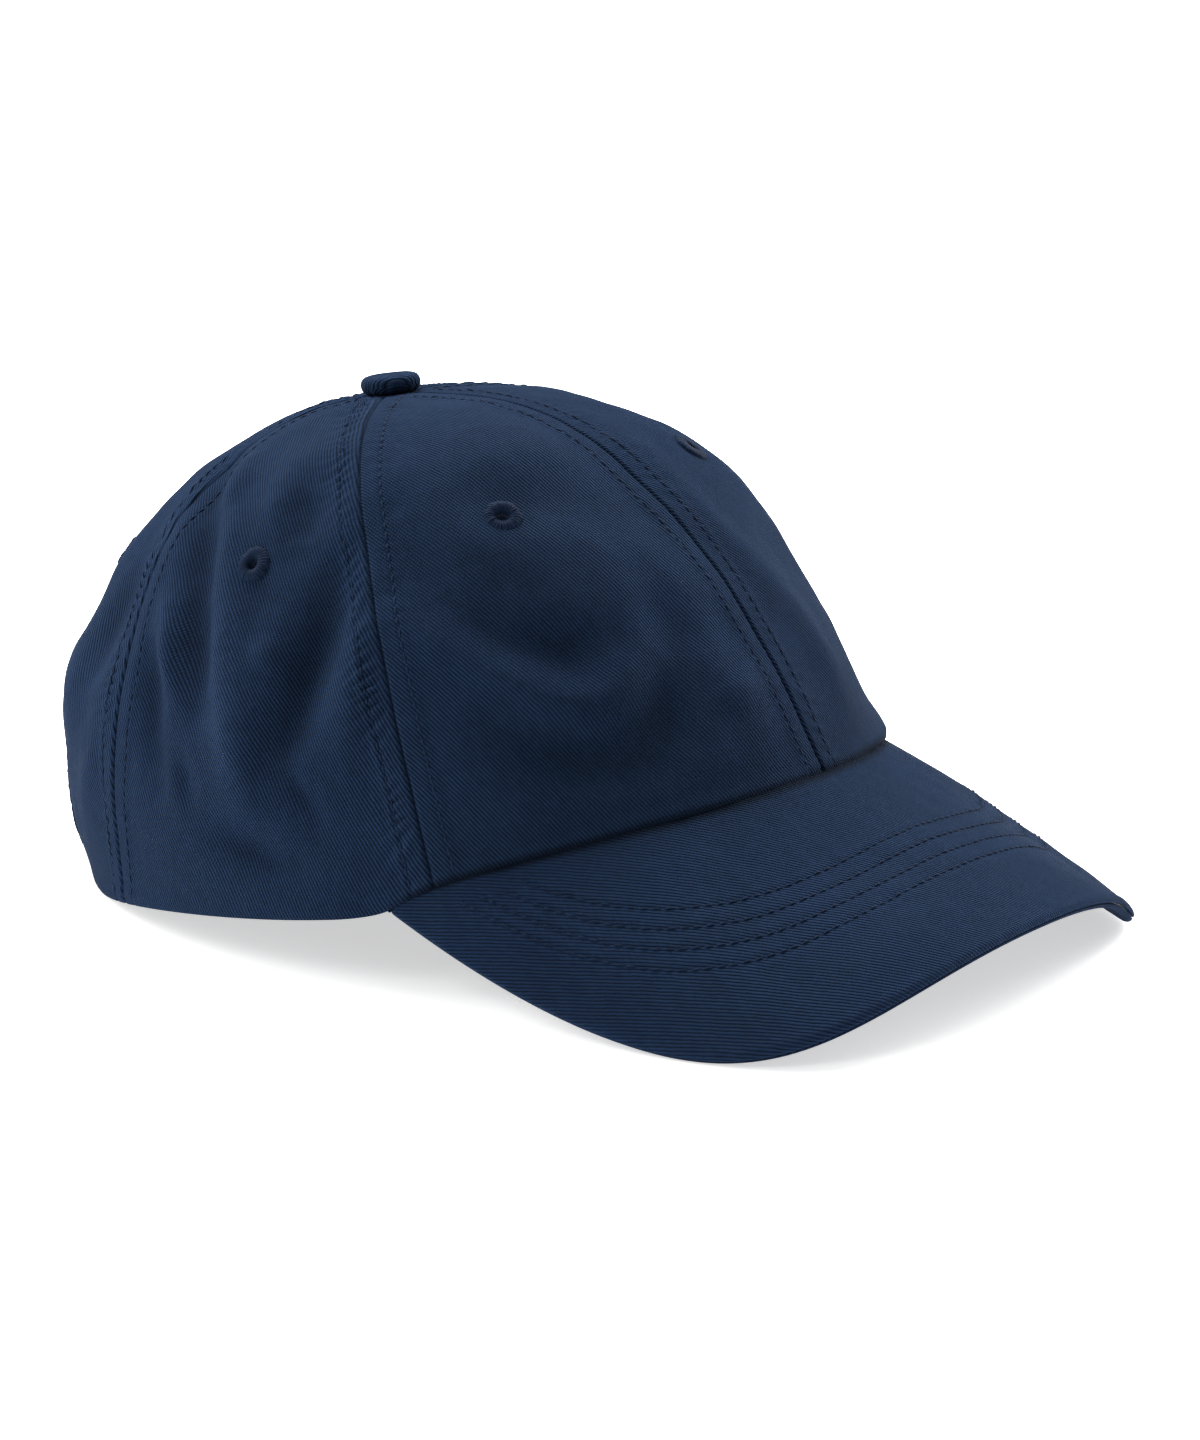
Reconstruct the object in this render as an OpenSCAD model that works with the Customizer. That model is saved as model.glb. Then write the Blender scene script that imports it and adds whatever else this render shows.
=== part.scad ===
// Soft six-panel baseball cap with a pre-curved peak and an adjustable
// self-fabric back strap held by a flip clasp. Lengths in mm.
// The cap is drawn with the edge of the head opening as its base plane,
// front towards -Y, wearer's right towards -X, and is then tipped back
// until the rear edge and both sides of the peak touch the ground.

/* [Crown] */
// distance from the middle of the head opening to its front edge
front_half = 87; // [84:0.5:90]
// distance from the middle of the head opening to its rear edge
rear_half = 100; // [98:0.5:102]
// half width of the head opening
side_half = 88.5; // [87.5:0.5:90]
// height of the crown above the temples
crown_h = 101; // [96:1:108]
// how far behind the middle of the opening the top button sits
top_back = 20; // [18:0.5:22]
// thickness of the washed cotton twill, seam padding included
cloth_t = 1.2; // [1.0:0.1:1.3]
// angle of the two front side seams, measured from the front
seam_front = 62; // [60:1:63]
// angle of the two rear side seams, measured from the front
seam_rear = 120; // [118:1:121]
// width of the seam tapes inside the crown
tape_w = 12; // [10:0.5:12]
// height of the sweatband
band_h = 28; // [26:1:30]

/* [Eyelets and button] */
// outer diameter of a stitched eyelet
eyelet_d = 8.6; // [8:0.2:9.2]
// diameter of the air hole
eyelet_hole = 3; // [2.6:0.1:3.4]
// diameter of the covered top button
button_d = 13.4; // [12.6:0.2:14]
// height of the covered top button
button_h = 5.4; // [5:0.1:6]

/* [Peak] */
// bending radius of the peak across its width
peak_r = 84; // [84:0.5:86]
// downward slope of the peak's centre line, degrees
peak_slope = 28.2; // [27:0.2:29]
// how far round the head opening each end of the peak is sewn, degrees
peak_end = 69; // [68:0.5:69.5]
// half width of the flat peak pattern
peak_half = 117.6; // [117.2:0.1:118.2]
// forward reach of the flat peak pattern beyond its ends
peak_reach = 146.7; // [144:0.5:150]
// thickness of the plastic peak board
board_t = 2; // [1.8:0.1:2.2]
// thickness of the cloth on each face of the peak
peak_cloth = 0.7; // [0.6:0.05:0.8]

/* [Back closure] */
// half angle of the arched opening
arch_half = 30; // [28:1:31]
// height of the arched opening
arch_h = 48; // [44:1:50]
// width of the tape that binds the arch
bind_w = 6; // [5:0.5:6.5]
// width of the back strap
strap_w = 20; // [18:0.5:20]
// thickness of the back strap
strap_t = 1.6; // [1.4:0.1:1.7]
// how far the flip clasp's lever is turned open, degrees
lever_open = 0; // [0:1:110]

/* [Hidden] */

navy = [0.13, 0.18, 0.27];
navy2 = [0.10, 0.14, 0.21];
tape_c = [0.16, 0.21, 0.30];
brass_c = [0.62, 0.50, 0.28];
plastic_c = [0.75, 0.75, 0.72];

// ---- general helpers -------------------------------------------------
function wrap(p) = p > 180 ? p - 360 : p < -180 ? p + 360 : p;
function unit(v) = v / norm(v);
function mix(a, b, s) = a + (b - a) * s;
function step3(a, b, x) = let (s = max(0, min(1, (x - a) / (b - a)))) s * s * (3 - 2 * s);

// closed shell between two grids of points with the same layout
module skin(a, b) {
    n = len(a); m = len(a[0]); o = n * m;
    pts = concat([for (r = a) each r], [for (r = b) each r]);
    outer = [for (i = [0 : n - 2], j = [0 : m - 2]) let (q = i * m + j)
        each [[q, q + m, q + 1], [q + 1, q + m, q + m + 1]]];
    inner = [for (i = [0 : n - 2], j = [0 : m - 2]) let (q = o + i * m + j)
        each [[q, q + 1, q + m], [q + 1, q + m + 1, q + m]]];
    low = [for (j = [0 : m - 2]) each [[j, j + 1, o + j], [j + 1, o + j + 1, o + j]]];
    high = [for (j = [0 : m - 2]) let (q = (n - 1) * m + j)
        each [[q, o + q, q + 1], [q + 1, o + q, o + q + 1]]];
    left = [for (i = [0 : n - 2]) let (q = i * m)
        each [[q, o + q, q + m], [q + m, o + q, o + q + m]]];
    right = [for (i = [0 : n - 2]) let (q = i * m + m - 1)
        each [[q, q + m, o + q], [q + m, o + q + m, o + q]]];
    polyhedron(points = pts, faces = concat(outer, inner, low, high, left, right));
}

// ---- crown surface ---------------------------------------------------
// p is the angle round the head opening: 0 front, 90 wearer's left,
// 180 rear; s is the height share from the edge (0) to the top (1).
function share(p, f, s, b) = let (c = cos(p))
    f * pow(max(c, 0), 2) + s * pow(sin(p), 2) + b * pow(max(-c, 0), 2);
function ridge(p) = exp(-pow(wrap(p) / 26, 2));
function en(p) = share(p, 0.60, 0.76, 1.15) + 0.09 * ridge(p);
function em(p) = share(p, 0.50, 1.16, 1.23) + 0.42 * ridge(p);
function ew(p) = share(p, -0.014, -0.03, 0.07);
function edge_x(p) = side_half * sin(p);
function edge_y(p) = -(cos(p) > 0 ? front_half : rear_half) * cos(p);
function edge_drop(x) = peak_r - sqrt(peak_r * peak_r - x * x);
function edge_q(p) = (-edge_y(p) - edge_drop(edge_x(p)) * sin(peak_slope)) / cos(peak_slope);
function edge_raw(p) = -edge_q(p) * sin(peak_slope) - edge_drop(edge_x(p)) * cos(peak_slope);
peak_z0 = -edge_raw(peak_end);
// the soft edge hangs a little lower behind the ears
function edge_z(p) = edge_raw(min(abs(wrap(p)), peak_end)) + peak_z0
    - 2.2 * exp(-pow((abs(wrap(p)) - 138) / 22, 2));

function crown(s, p) =
    let (sn = pow(s, 1 / em(p)), cs = sqrt(max(1e-12, 1 - sn * sn)),
         rho = pow(cs, en(p)) + ew(p) * 4 * sn * cs * cs,
         puff = cos(p) < -0.5 ? 2.3 * pow(sin(3 * p), 2) * sin(180 * pow(asin(min(1, sn)) / 90, 0.75)) : 0)
    [rho * edge_x(p) + puff * cs * sin(p),
     rho * edge_y(p) + top_back * s - puff * cs * cos(p),
     edge_z(p) * pow(1 - s, 1.5) + crown_h * s + puff * sn];
function s_at_radius(p, r) = pow(1 - pow(r, 2 / en(p)), em(p) / 2);
function s_at_height(p, h) = let (z = edge_z(p)) h / (crown_h - 1.5 * z);
function crown_n(s, p) =
    let (top = s_at_radius(p, 0.03), a = max(0, s - 0.004), b = min(top, s + 0.004))
    unit(cross(crown(s, p + 0.5) - crown(s, p - 0.5), crown(b, p) - crown(a, p)));
function inward(s, p, d) = crown(s, p) - d * crown_n(s, p);

// ---- six panels ------------------------------------------------------
rows = 18;
function climb(s0, s1, t) = s0 + (s1 - s0) * (1 - pow(1 - t, 2.2));
function deg_of(w) = w / 80 * 180 / PI;
bind_a = arch_half + deg_of(bind_w);
function arch_s(a, w) = (arch_h + w) / crown_h * sin(a);

function front_cols(a, b) = [for (i = [0 : 12]) [mix(a, b, i / 12), 0]];
function rear_cols(sg) = let (
    flat = [for (i = [0 : 5]) [mix(seam_rear, 180 - bind_a, i / 6), 0]],
    arch = [for (i = [0 : 18]) [180 - bind_a * cos(5 * i), arch_s(5 * i, bind_w)]],
    all = concat(flat, arch))
    sg > 0 ? all : [for (i = [len(all) - 1 : -1 : 0]) [-all[i][0], all[i][1]]];

module panel(cols) {
    a = [for (j = [0 : rows]) [for (c = cols)
        crown(climb(c[1], s_at_radius(c[0], 0.04), j / rows), c[0])]];
    b = [for (j = [0 : rows]) [for (c = cols)
        inward(climb(c[1], s_at_radius(c[0], 0.04), j / rows), c[0], cloth_t)]];
    skin(b, a);
}

module panel_with_hole(cols, p, s) {
    difference() {
        panel(cols);
        at_crown(s, p) translate([0, 0, -4]) cylinder(h = 8, d = eyelet_d + 0.1, $fn = 48);
    }
}

// stand an object on the crown with +Z along the outward normal
module at_crown(s, p) {
    n = crown_n(s, p);
    translate(crown(s, p)) rotate([0, acos(n[2]), atan2(n[1], n[0])]) children();
}

eye_fr = [0.764, seam_front / 2 + 4];
eye_fl = [0.8, seam_front / 2 - 4];
eye_s = [0.711, 90];
eye_r = [0.69, 150];

module eyelet() {
    rotate_extrude($fn = 48) polygon([
        [eyelet_hole / 2, -cloth_t - 0.2], [eyelet_d / 2 - 0.6, -cloth_t - 0.3], [eyelet_d / 2, -cloth_t + 0.1],
        [eyelet_d / 2, 0.15], [eyelet_d / 2 - 0.5, 0.6], [eyelet_hole / 2 + 0.5, 0.6], [eyelet_hole / 2, 0.2]]);
}

// ---- inside the crown ------------------------------------------------
module seam_tape(p, s0) {
    s1 = s_at_radius(p, 0.145);
    function half(s) = let (c = crown(s, p)) tape_w / 2 / norm([c[0], c[1] - top_back * s]) * 180 / PI;
    function pts(d) = [for (j = [0 : 16]) let (s = climb(s0, s1, j / 16), h = half(s))
        [for (k = [-1 : 1]) inward(s, p + k * h, d)]];
    skin(pts(cloth_t + 1.15), pts(cloth_t + 0.3));
}

channel = 7.2;
function band_gap(p) = 0.3 + channel * step3(106, 128, abs(p));
band_end = 146;
module sweat() {
    n = 64;
    function pts(d) = [for (h = [1, 9, 18, band_h]) [for (i = [0 : n])
        let (p = mix(-band_end, band_end, i / n)) inward(s_at_height(p, h), p, cloth_t + band_gap(p) + d)]];
    skin(pts(1.6), pts(0));
}

module binding() {
    function line(w, d) = [for (i = [0 : 36]) let (a = 5 * i, p = 180 - (arch_half + deg_of(w)) * cos(a),
        s = arch_s(a, w)) inward(s, p, d)];
    skin([line(0, cloth_t + 0.45), line(bind_w, cloth_t + 0.45)], [line(0, -0.45), line(bind_w, -0.45)]);
}

// ---- peak ------------------------------------------------------------
function bend(u, q) = let (a = u / peak_r * 180 / PI, drop = peak_r * (1 - cos(a)))
    [peak_r * sin(a), -q * cos(peak_slope) - drop * sin(peak_slope),
     -q * sin(peak_slope) - drop * cos(peak_slope) + peak_z0];
function bend_n(u) = let (a = u / peak_r * 180 / PI)
    unit([sin(a) * cos(2 * peak_slope), -sin(peak_slope) * cos(a), cos(peak_slope) * cos(a)]);
function flat_of(p) = [peak_r * asin(edge_x(p) / peak_r) * PI / 180, edge_q(p)];
end_flat = flat_of(peak_end);
ee = 1.946;
t_end = 180 - asin(pow(end_flat[0] / peak_half, ee / 2));
q_mid = end_flat[1] + peak_reach * pow(abs(cos(t_end)), 2 / ee);
function sgn_pow(v, e) = sign(v) * pow(abs(v), e);
function rim_flat(t) = [peak_half * sgn_pow(sin(t), 2 / ee), q_mid + peak_reach * sgn_pow(cos(t), 2 / ee)];
function rim_out(t) = let (d = rim_flat(t + 0.5) - rim_flat(t - 0.5)) unit([-d[1], d[0]]);
cols_p = 36;
function peak_pt(i, w, out, d) =
    let (k = 2 * i / cols_p - 1,
         a = flat_of(k * peak_end * 0.955), t = k * t_end * 0.985,
         o = rim_flat(t) - edge_round * rim_out(t), f = mix(a, o, w) + out * rim_out(t))
    bend(f[0], f[1]) - d * bend_n(f[0]);
peak_t = board_t + 2 * peak_cloth + 0.1;
edge_round = peak_t / 2;
in_round = edge_round - peak_cloth;

// turn = 1 upper cloth, -1 under cloth: flat part, then a rounded edge
module peak_layer(turn) {
    function face(r) = concat(
        [for (w = [0, 0.25, 0.5, 0.75, 1]) [for (i = [0 : cols_p]) peak_pt(i, w, 0, edge_round - turn * r)]],
        [for (a = [30, 60, 89]) [for (i = [0 : cols_p])
            peak_pt(i, 1, r * sin(a), edge_round - turn * r * cos(a))]]);
    if (turn > 0) skin(face(in_round), face(edge_round));
    else skin(face(edge_round), face(in_round));
}

module board() {
    function face(d) = [for (w = [0.03, 0.25, 0.5, 0.75, 1]) [for (i = [0 : cols_p]) peak_pt(i, w, 0, d)]];
    skin(face(peak_cloth + 0.05 + board_t), face(peak_cloth + 0.05));
}

// four rows of stitching that follow the front edge up to the crown, wider apart in front
module stitch_row(row) {
    n = 44;
    function line(w, d) = [for (i = [0 : n]) let (k = 2 * i / n - 1, t = k * t_end * (0.88 - 0.034 * row),
        g = exp(-pow(t / 32, 2)), inset = 18 + 5 * g + row * (4.4 + 0.7 * g),
        f = rim_flat(t) - (inset + w) * rim_out(t)) bend(f[0], f[1]) - d * bend_n(f[0])];
    skin([line(0.35, -0.03), line(-0.35, -0.03)], [line(0.35, -0.33), line(-0.35, -0.33)]);
}

// ---- back closure ----------------------------------------------------
arc_y = 24;          // centre of the arc that the strap follows
arc_r = 75.8;         // outer radius of the strap at mid width
strap_z = 14;        // mid height of the strap above the rear edge
lean = 6;            // outward lean of the strap

// ring segment round the arc centre; q is measured from the rear, + to wearer's left
module arc_band(q0, q1, r_out, t, z0, z1) {
    r0 = r_out + (z0 - strap_z) * tan(lean);
    r1 = r_out + (z1 - strap_z) * tan(lean);
    translate([0, arc_y, 0]) rotate([0, 0, 90 - q1])
        rotate_extrude(angle = q1 - q0, $fn = 180)
            polygon([[r0 - t, z0], [r0, z0], [r1, z1], [r1 - t, z1]]);
}

clasp_q = 20;        // middle of the clasp on the arc
pin_u = 7.5;         // hinge pin, along the strap
pin_v = 1.95;        // hinge pin, outwards from the strap
pin_r = 0.8;
rail_h = 1.8;        // thickness of the clasp's rails
inner_h = strap_w + 1;
frame_l = 20;
bar_u = frame_l / 2 + 1.6;   // bar that carries the tab
bar_v = 1.7;

// clasp axes: +X along the strap towards the wearer's left, +Y outwards, +Z up the strap's width
module at_clasp() {
    translate([0, arc_y, 0]) rotate([0, 0, -clasp_q]) translate([0, arc_r, strap_z]) rotate([-lean, 0, 0]) children();
}

module frame_body() {
    difference() {
        union() {
            translate([-frame_l / 2, -3.5, -inner_h / 2 - rail_h]) cube([frame_l, 4.6, inner_h + 2 * rail_h]);
            for (s = [-1, 1]) translate([pin_u, pin_v, s * (inner_h + rail_h) / 2])
                cylinder(h = rail_h, r = 1.9, center = true, $fn = 40);
            for (s = [-1, 1]) translate([pin_u - 1.9, 0, s * (inner_h + rail_h) / 2 - rail_h / 2])
                cube([3.8, pin_v, rail_h]);
        }
        translate([-frame_l / 2 - 1, -2.6, -inner_h / 2]) cube([frame_l + 2, 8, inner_h]);
        translate([pin_u, pin_v, 0]) cylinder(h = inner_h + 4 * rail_h, r = pin_r, center = true, $fn = 40);
    }
    // bar that carries the cloth tab
    translate([bar_u, bar_v, 0]) cylinder(h = inner_h + 2 * rail_h, r = 1, center = true, $fn = 40);
    for (s = [-1, 1]) translate([frame_l / 2, -0.6, s * (inner_h + rail_h) / 2 - rail_h / 2])
        cube([bar_u - frame_l / 2, 3, rail_h]);
}

module lever_body() {
    w = inner_h - 0.6;
    difference() {
        union() {
            translate([pin_u, pin_v, 0]) cylinder(h = w, r = 1.5, center = true, $fn = 40);
            translate([-frame_l / 2 - 1, 0.55, -w / 2]) cube([pin_u + frame_l / 2 + 1, 1, w]);
            translate([-frame_l / 2 - 2, 0.55, -w / 2]) cube([1.2, 2.4, w]);
        }
        translate([pin_u, pin_v, 0]) cylinder(h = w + 2, r = pin_r + 0.05, center = true, $fn = 40);
    }
}

// ---- stand the cap on the ground -------------------------------------
tip_back = 8.5;
// underside of the peak's rounded edge and the rear edge, tipped back
function tipped(v) = [v[0], v[1] * cos(tip_back) + v[2] * sin(tip_back), v[2] * cos(tip_back) - v[1] * sin(tip_back)];
edge_pts = [for (i = [0 : cols_p], a = [0, 30, 60, 89])
    tipped(peak_pt(i, 1, edge_round * sin(a), edge_round + edge_round * cos(a)))];
rear_pts = [for (p = [150 : 5 : 210], s = [0, 0.1, 0.2, 0.3]) tipped(crown(s, p))];
low = min(min([for (v = edge_pts) v[2]]), min([for (v = rear_pts) v[2]]));
front_y = min([for (v = edge_pts) v[1]]);
back_y = max([for (v = rear_pts) v[1]]) + 0.45;

module place() {
    translate([0, -(front_y + back_y) / 2, -low]) rotate([-tip_back, 0, 0]) children();
}

// ---- nodes -----------------------------------------------------------
module panel_front_right() { color(navy) place() panel_with_hole(front_cols(-seam_front, 0), -eye_fr[1], eye_fr[0]); }
module panel_front_left() { color(navy) place() panel_with_hole(front_cols(0, seam_front), eye_fl[1], eye_fl[0]); }
module panel_side_right() { color(navy) place() panel_with_hole(front_cols(-seam_rear, -seam_front), -eye_s[1], eye_s[0]); }
module panel_side_left() { color(navy) place() panel_with_hole(front_cols(seam_front, seam_rear), eye_s[1], eye_s[0]); }
module panel_rear_right() { color(navy) place() panel_with_hole(rear_cols(-1), -eye_r[1], eye_r[0]); }
module panel_rear_left() { color(navy) place() panel_with_hole(rear_cols(1), eye_r[1], eye_r[0]); }

module seam_tape_front() { color(tape_c) place() seam_tape(0, s_at_height(0, band_h + 2)); }
module seam_tape_front_right() { color(tape_c) place() seam_tape(-seam_front, s_at_height(seam_front, band_h + 2)); }
module seam_tape_front_left() { color(tape_c) place() seam_tape(seam_front, s_at_height(seam_front, band_h + 2)); }
module seam_tape_rear_right() { color(tape_c) place() seam_tape(-seam_rear, s_at_height(seam_rear, band_h + 2)); }
module seam_tape_rear_left() { color(tape_c) place() seam_tape(seam_rear, s_at_height(seam_rear, band_h + 2)); }
module seam_tape_rear() { color(tape_c) place() seam_tape(180, (arch_h + bind_w + 2) / crown_h); }

module eyelet_front_right() { color(navy2) place() at_crown(eye_fr[0], -eye_fr[1]) eyelet(); }
module eyelet_front_left() { color(navy2) place() at_crown(eye_fl[0], eye_fl[1]) eyelet(); }
module eyelet_side_right() { color(navy2) place() at_crown(eye_s[0], -eye_s[1]) eyelet(); }
module eyelet_side_left() { color(navy2) place() at_crown(eye_s[0], eye_s[1]) eyelet(); }
module eyelet_rear_right() { color(navy2) place() at_crown(eye_r[0], -eye_r[1]) eyelet(); }
module eyelet_rear_left() { color(navy2) place() at_crown(eye_r[0], eye_r[1]) eyelet(); }

// covered button: a domed disc with a shank through the top of the crown
module top_button() {
    color(navy) place() translate([0, top_back, crown_h]) {
        rotate_extrude($fn = 72) polygon(concat(
            [[0, 0.25], [button_d / 2 - 1.4, 0.25], [button_d / 2 - 0.4, 0.9]],
            [for (a = [0 : 15 : 75]) [button_d / 2 - 2.4 + 2.4 * cos(a), button_h - 2.9 + 2.5 * sin(a)]],
            [[button_d / 2 - 2.6, button_h - 0.35], [2, button_h], [0, button_h]]));
        translate([0, 0, -2.2]) cylinder(h = 2.6, r = 2.2, $fn = 48);
    }
}
module button_rivet() {
    color(brass_c) place() translate([0, top_back, crown_h - 3.6])
        rotate_extrude($fn = 48) polygon([[0, 0], [4.4, 0], [5.2, 0.5], [5.2, 1], [2.2, 1.4], [0, 1.4]]);
}
module sweatband() { color(navy2) place() sweat(); }
module arch_binding() { color(navy2) place() binding(); }

module peak_cloth_upper() { color(navy) place() peak_layer(1); }
module peak_board() { color(plastic_c) place() board(); }
module peak_cloth_under() { color(navy) place() peak_layer(-1); }
module peak_stitching() { color(navy2) place() for (k = [0 : 3]) stitch_row(k); }

module adjuster_strap() {
    color(navy) place() arc_band(-48, 52, arc_r, strap_t, strap_z - strap_w / 2, strap_z + strap_w / 2);
}
// short doubled tab, sewn inside the panel, that holds the clasp by its bar
module clasp_tab() {
    color(navy) place() difference() {
        union() {
            arc_band(29.4, 45, arc_r + 1.35, 1, strap_z - strap_w / 2, strap_z + strap_w / 2);
            at_clasp() translate([bar_u, bar_v, 0]) cylinder(h = strap_w, r = 2.1, center = true, $fn = 40);
        }
        at_clasp() translate([bar_u, bar_v, 0]) cylinder(h = strap_w + 2, r = 1.05, center = true, $fn = 40);
    }
}
module clasp_frame() { color(brass_c) place() at_clasp() frame_body(); }
module clasp_pin() {
    color(brass_c) place() at_clasp() translate([pin_u, pin_v, 0])
        cylinder(h = inner_h + 2 * rail_h + 0.4, r = pin_r, center = true, $fn = 40);
}
module clasp_lever() {
    color(brass_c) place() at_clasp() translate([pin_u, pin_v, 0]) rotate([0, 0, -lever_open])
        translate([-pin_u, -pin_v, 0]) lever_body();
}

panel_front_right();
panel_front_left();
panel_side_right();
panel_side_left();
panel_rear_right();
panel_rear_left();
seam_tape_front();
seam_tape_front_right();
seam_tape_front_left();
seam_tape_rear_right();
seam_tape_rear_left();
seam_tape_rear();
eyelet_front_right();
eyelet_front_left();
eyelet_side_right();
eyelet_side_left();
eyelet_rear_right();
eyelet_rear_left();
top_button();
button_rivet();
sweatband();
arch_binding();
peak_cloth_upper();
peak_board();
peak_cloth_under();
peak_stitching();
adjuster_strap();
clasp_tab();
clasp_frame();
clasp_pin();
clasp_lever();
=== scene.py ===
import bpy
import math
import numpy as np
from mathutils import Vector, Matrix


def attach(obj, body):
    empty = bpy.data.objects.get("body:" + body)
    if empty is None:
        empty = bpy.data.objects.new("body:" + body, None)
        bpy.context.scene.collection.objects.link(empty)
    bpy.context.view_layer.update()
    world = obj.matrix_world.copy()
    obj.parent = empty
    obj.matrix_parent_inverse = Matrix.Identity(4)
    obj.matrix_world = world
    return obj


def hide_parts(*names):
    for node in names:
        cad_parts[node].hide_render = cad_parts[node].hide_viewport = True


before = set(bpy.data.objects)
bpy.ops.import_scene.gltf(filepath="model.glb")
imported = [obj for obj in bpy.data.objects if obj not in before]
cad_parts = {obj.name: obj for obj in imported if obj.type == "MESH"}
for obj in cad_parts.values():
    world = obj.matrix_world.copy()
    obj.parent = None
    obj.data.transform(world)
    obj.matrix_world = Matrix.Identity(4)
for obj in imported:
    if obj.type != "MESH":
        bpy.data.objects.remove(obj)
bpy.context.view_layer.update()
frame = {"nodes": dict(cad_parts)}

D = math.pi / 180
rng = np.random.default_rng(7)

# ---------------------------------------------------------------- cap surface (mm)
FRONT, REAR, SIDE, CROWN_H, TOP_BACK, CLOTH = 87.0, 100.0, 88.5, 101.0, 20.0, 1.2
SEAM_F, SEAM_R = 62.0, 120.0
PEAK_R, SLOPE, PEAK_END, PEAK_HALF, PEAK_REACH, EE = 84.0, 28.2, 69.0, 117.6, 146.7, 1.946
BOARD, PCLOTH = 2.0, 0.7
PEAK_T = BOARD + 2 * PCLOTH + 0.1
RND = PEAK_T / 2
TIP = 8.5
ARC_Y, ARC_R, STRAP_Z, LEAN, STRAP_W, STRAP_T = 24.0, 75.8, 14.0, 6.0, 20.0, 1.6
ARCH_HALF, ARCH_H, BIND_W = 30.0, 48.0, 6.0
BIND_A = ARCH_HALF + BIND_W / 80 * 180 / math.pi
BAND_H, BAND_END = 28.0, 146.0


def wrap(p): return (p + 180.0) % 360.0 - 180.0


def share(p, f, s, b):
    c = np.cos(p * D)
    return f * np.clip(c, 0, None) ** 2 + s * np.sin(p * D) ** 2 + b * np.clip(-c, 0, None) ** 2


def ridge(p): return np.exp(-(wrap(p) / 26.0) ** 2)
def en(p): return share(p, 0.60, 0.76, 1.15) + 0.09 * ridge(p)
def em(p): return share(p, 0.50, 1.16, 1.23) + 0.42 * ridge(p)
def ew(p): return share(p, -0.014, -0.03, 0.07)
def edge_x(p): return SIDE * np.sin(p * D)
def edge_y(p): return -np.where(np.cos(p * D) > 0, FRONT, REAR) * np.cos(p * D)
def edge_drop(x): return PEAK_R - np.sqrt(PEAK_R ** 2 - x * x)
def edge_q(p): return (-edge_y(p) - edge_drop(edge_x(p)) * np.sin(SLOPE * D)) / np.cos(SLOPE * D)
def edge_raw(p): return -edge_q(p) * np.sin(SLOPE * D) - edge_drop(edge_x(p)) * np.cos(SLOPE * D)


PEAK_Z0 = -float(edge_raw(np.array(PEAK_END)))


def edge_z(p):
    a = np.abs(wrap(p))
    # the join is rounded where the peak ends, so the cloth does not kink there
    k = 2.5
    m = 0.5 * (a + PEAK_END - np.sqrt((a - PEAK_END) ** 2 + k * k))
    return edge_raw(np.minimum(m, PEAK_END)) + PEAK_Z0 - 2.2 * np.exp(-((a - 138) / 22.0) ** 2)


def unit(v): return v / np.maximum(np.linalg.norm(v, axis=-1, keepdims=True), 1e-12)


def sstep(a, b, x):
    s = np.clip((x - a) / (b - a), 0, 1)
    return s * s * (3 - 2 * s)


def crown(s, p):
    s = np.asarray(s, float)
    p = np.asarray(p, float)
    sn = np.clip(s, 0, 1) ** (1 / em(p))
    cs = np.sqrt(np.clip(1 - sn * sn, 1e-12, None))
    rho = cs ** en(p) + ew(p) * 4 * sn * cs * cs
    puff = np.where(np.cos(p * D) < -0.5,
                    2.3 * np.sin(3 * p * D) ** 2 * np.sin(np.pi * (np.arcsin(np.clip(sn, 0, 1)) / (np.pi / 2)) ** 0.75), 0.0)
    return np.stack([rho * edge_x(p) + puff * cs * np.sin(p * D),
                     rho * edge_y(p) + TOP_BACK * s - puff * cs * np.cos(p * D),
                     edge_z(p) * np.clip(1 - s, 0, None) ** 1.5 + CROWN_H * s + puff * sn], -1)


def s_at_radius(p, r): return (1 - r ** (2 / en(p))) ** (em(p) / 2)
def s_at_height(p, h): return h / (CROWN_H - 1.5 * edge_z(p))


def tipped(v):
    c, s = math.cos(TIP * D), math.sin(TIP * D)
    return np.stack([v[..., 0], v[..., 1] * c + v[..., 2] * s, v[..., 2] * c - v[..., 1] * s], -1)


# peak: a flat pattern bent over a cylinder that slopes down towards the front
def bend(u, q):
    a = u / PEAK_R
    drop = PEAK_R * (1 - np.cos(a))
    return np.stack([PEAK_R * np.sin(a), -q * math.cos(SLOPE * D) - drop * math.sin(SLOPE * D),
                     -q * math.sin(SLOPE * D) - drop * math.cos(SLOPE * D) + PEAK_Z0], -1)


def bend_n(u):
    a = u / PEAK_R
    return unit(np.stack([np.sin(a) * math.cos(2 * SLOPE * D), -math.sin(SLOPE * D) * np.cos(a),
                          math.cos(SLOPE * D) * np.cos(a)], -1))


def flat_of(p):
    x = np.clip(edge_x(p) / PEAK_R, -1, 1)
    return PEAK_R * np.arcsin(x), edge_q(p)


EF = flat_of(np.array(PEAK_END))
T_END = 180 - math.degrees(math.asin((float(EF[0]) / PEAK_HALF) ** (EE / 2)))
Q_MID = float(EF[1]) + PEAK_REACH * abs(math.cos(T_END * D)) ** (2 / EE)


def sgp(v, e): return np.sign(v) * np.abs(v) ** e


def rim_flat(t):
    t = np.asarray(t, float)
    return np.stack([PEAK_HALF * sgp(np.sin(t * D), 2 / EE), Q_MID + PEAK_REACH * sgp(np.cos(t * D), 2 / EE)], -1)


def rim_out(t):
    d = rim_flat(t + 0.5) - rim_flat(t - 0.5)
    return unit(np.stack([-d[..., 1], d[..., 0]], -1))


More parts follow.
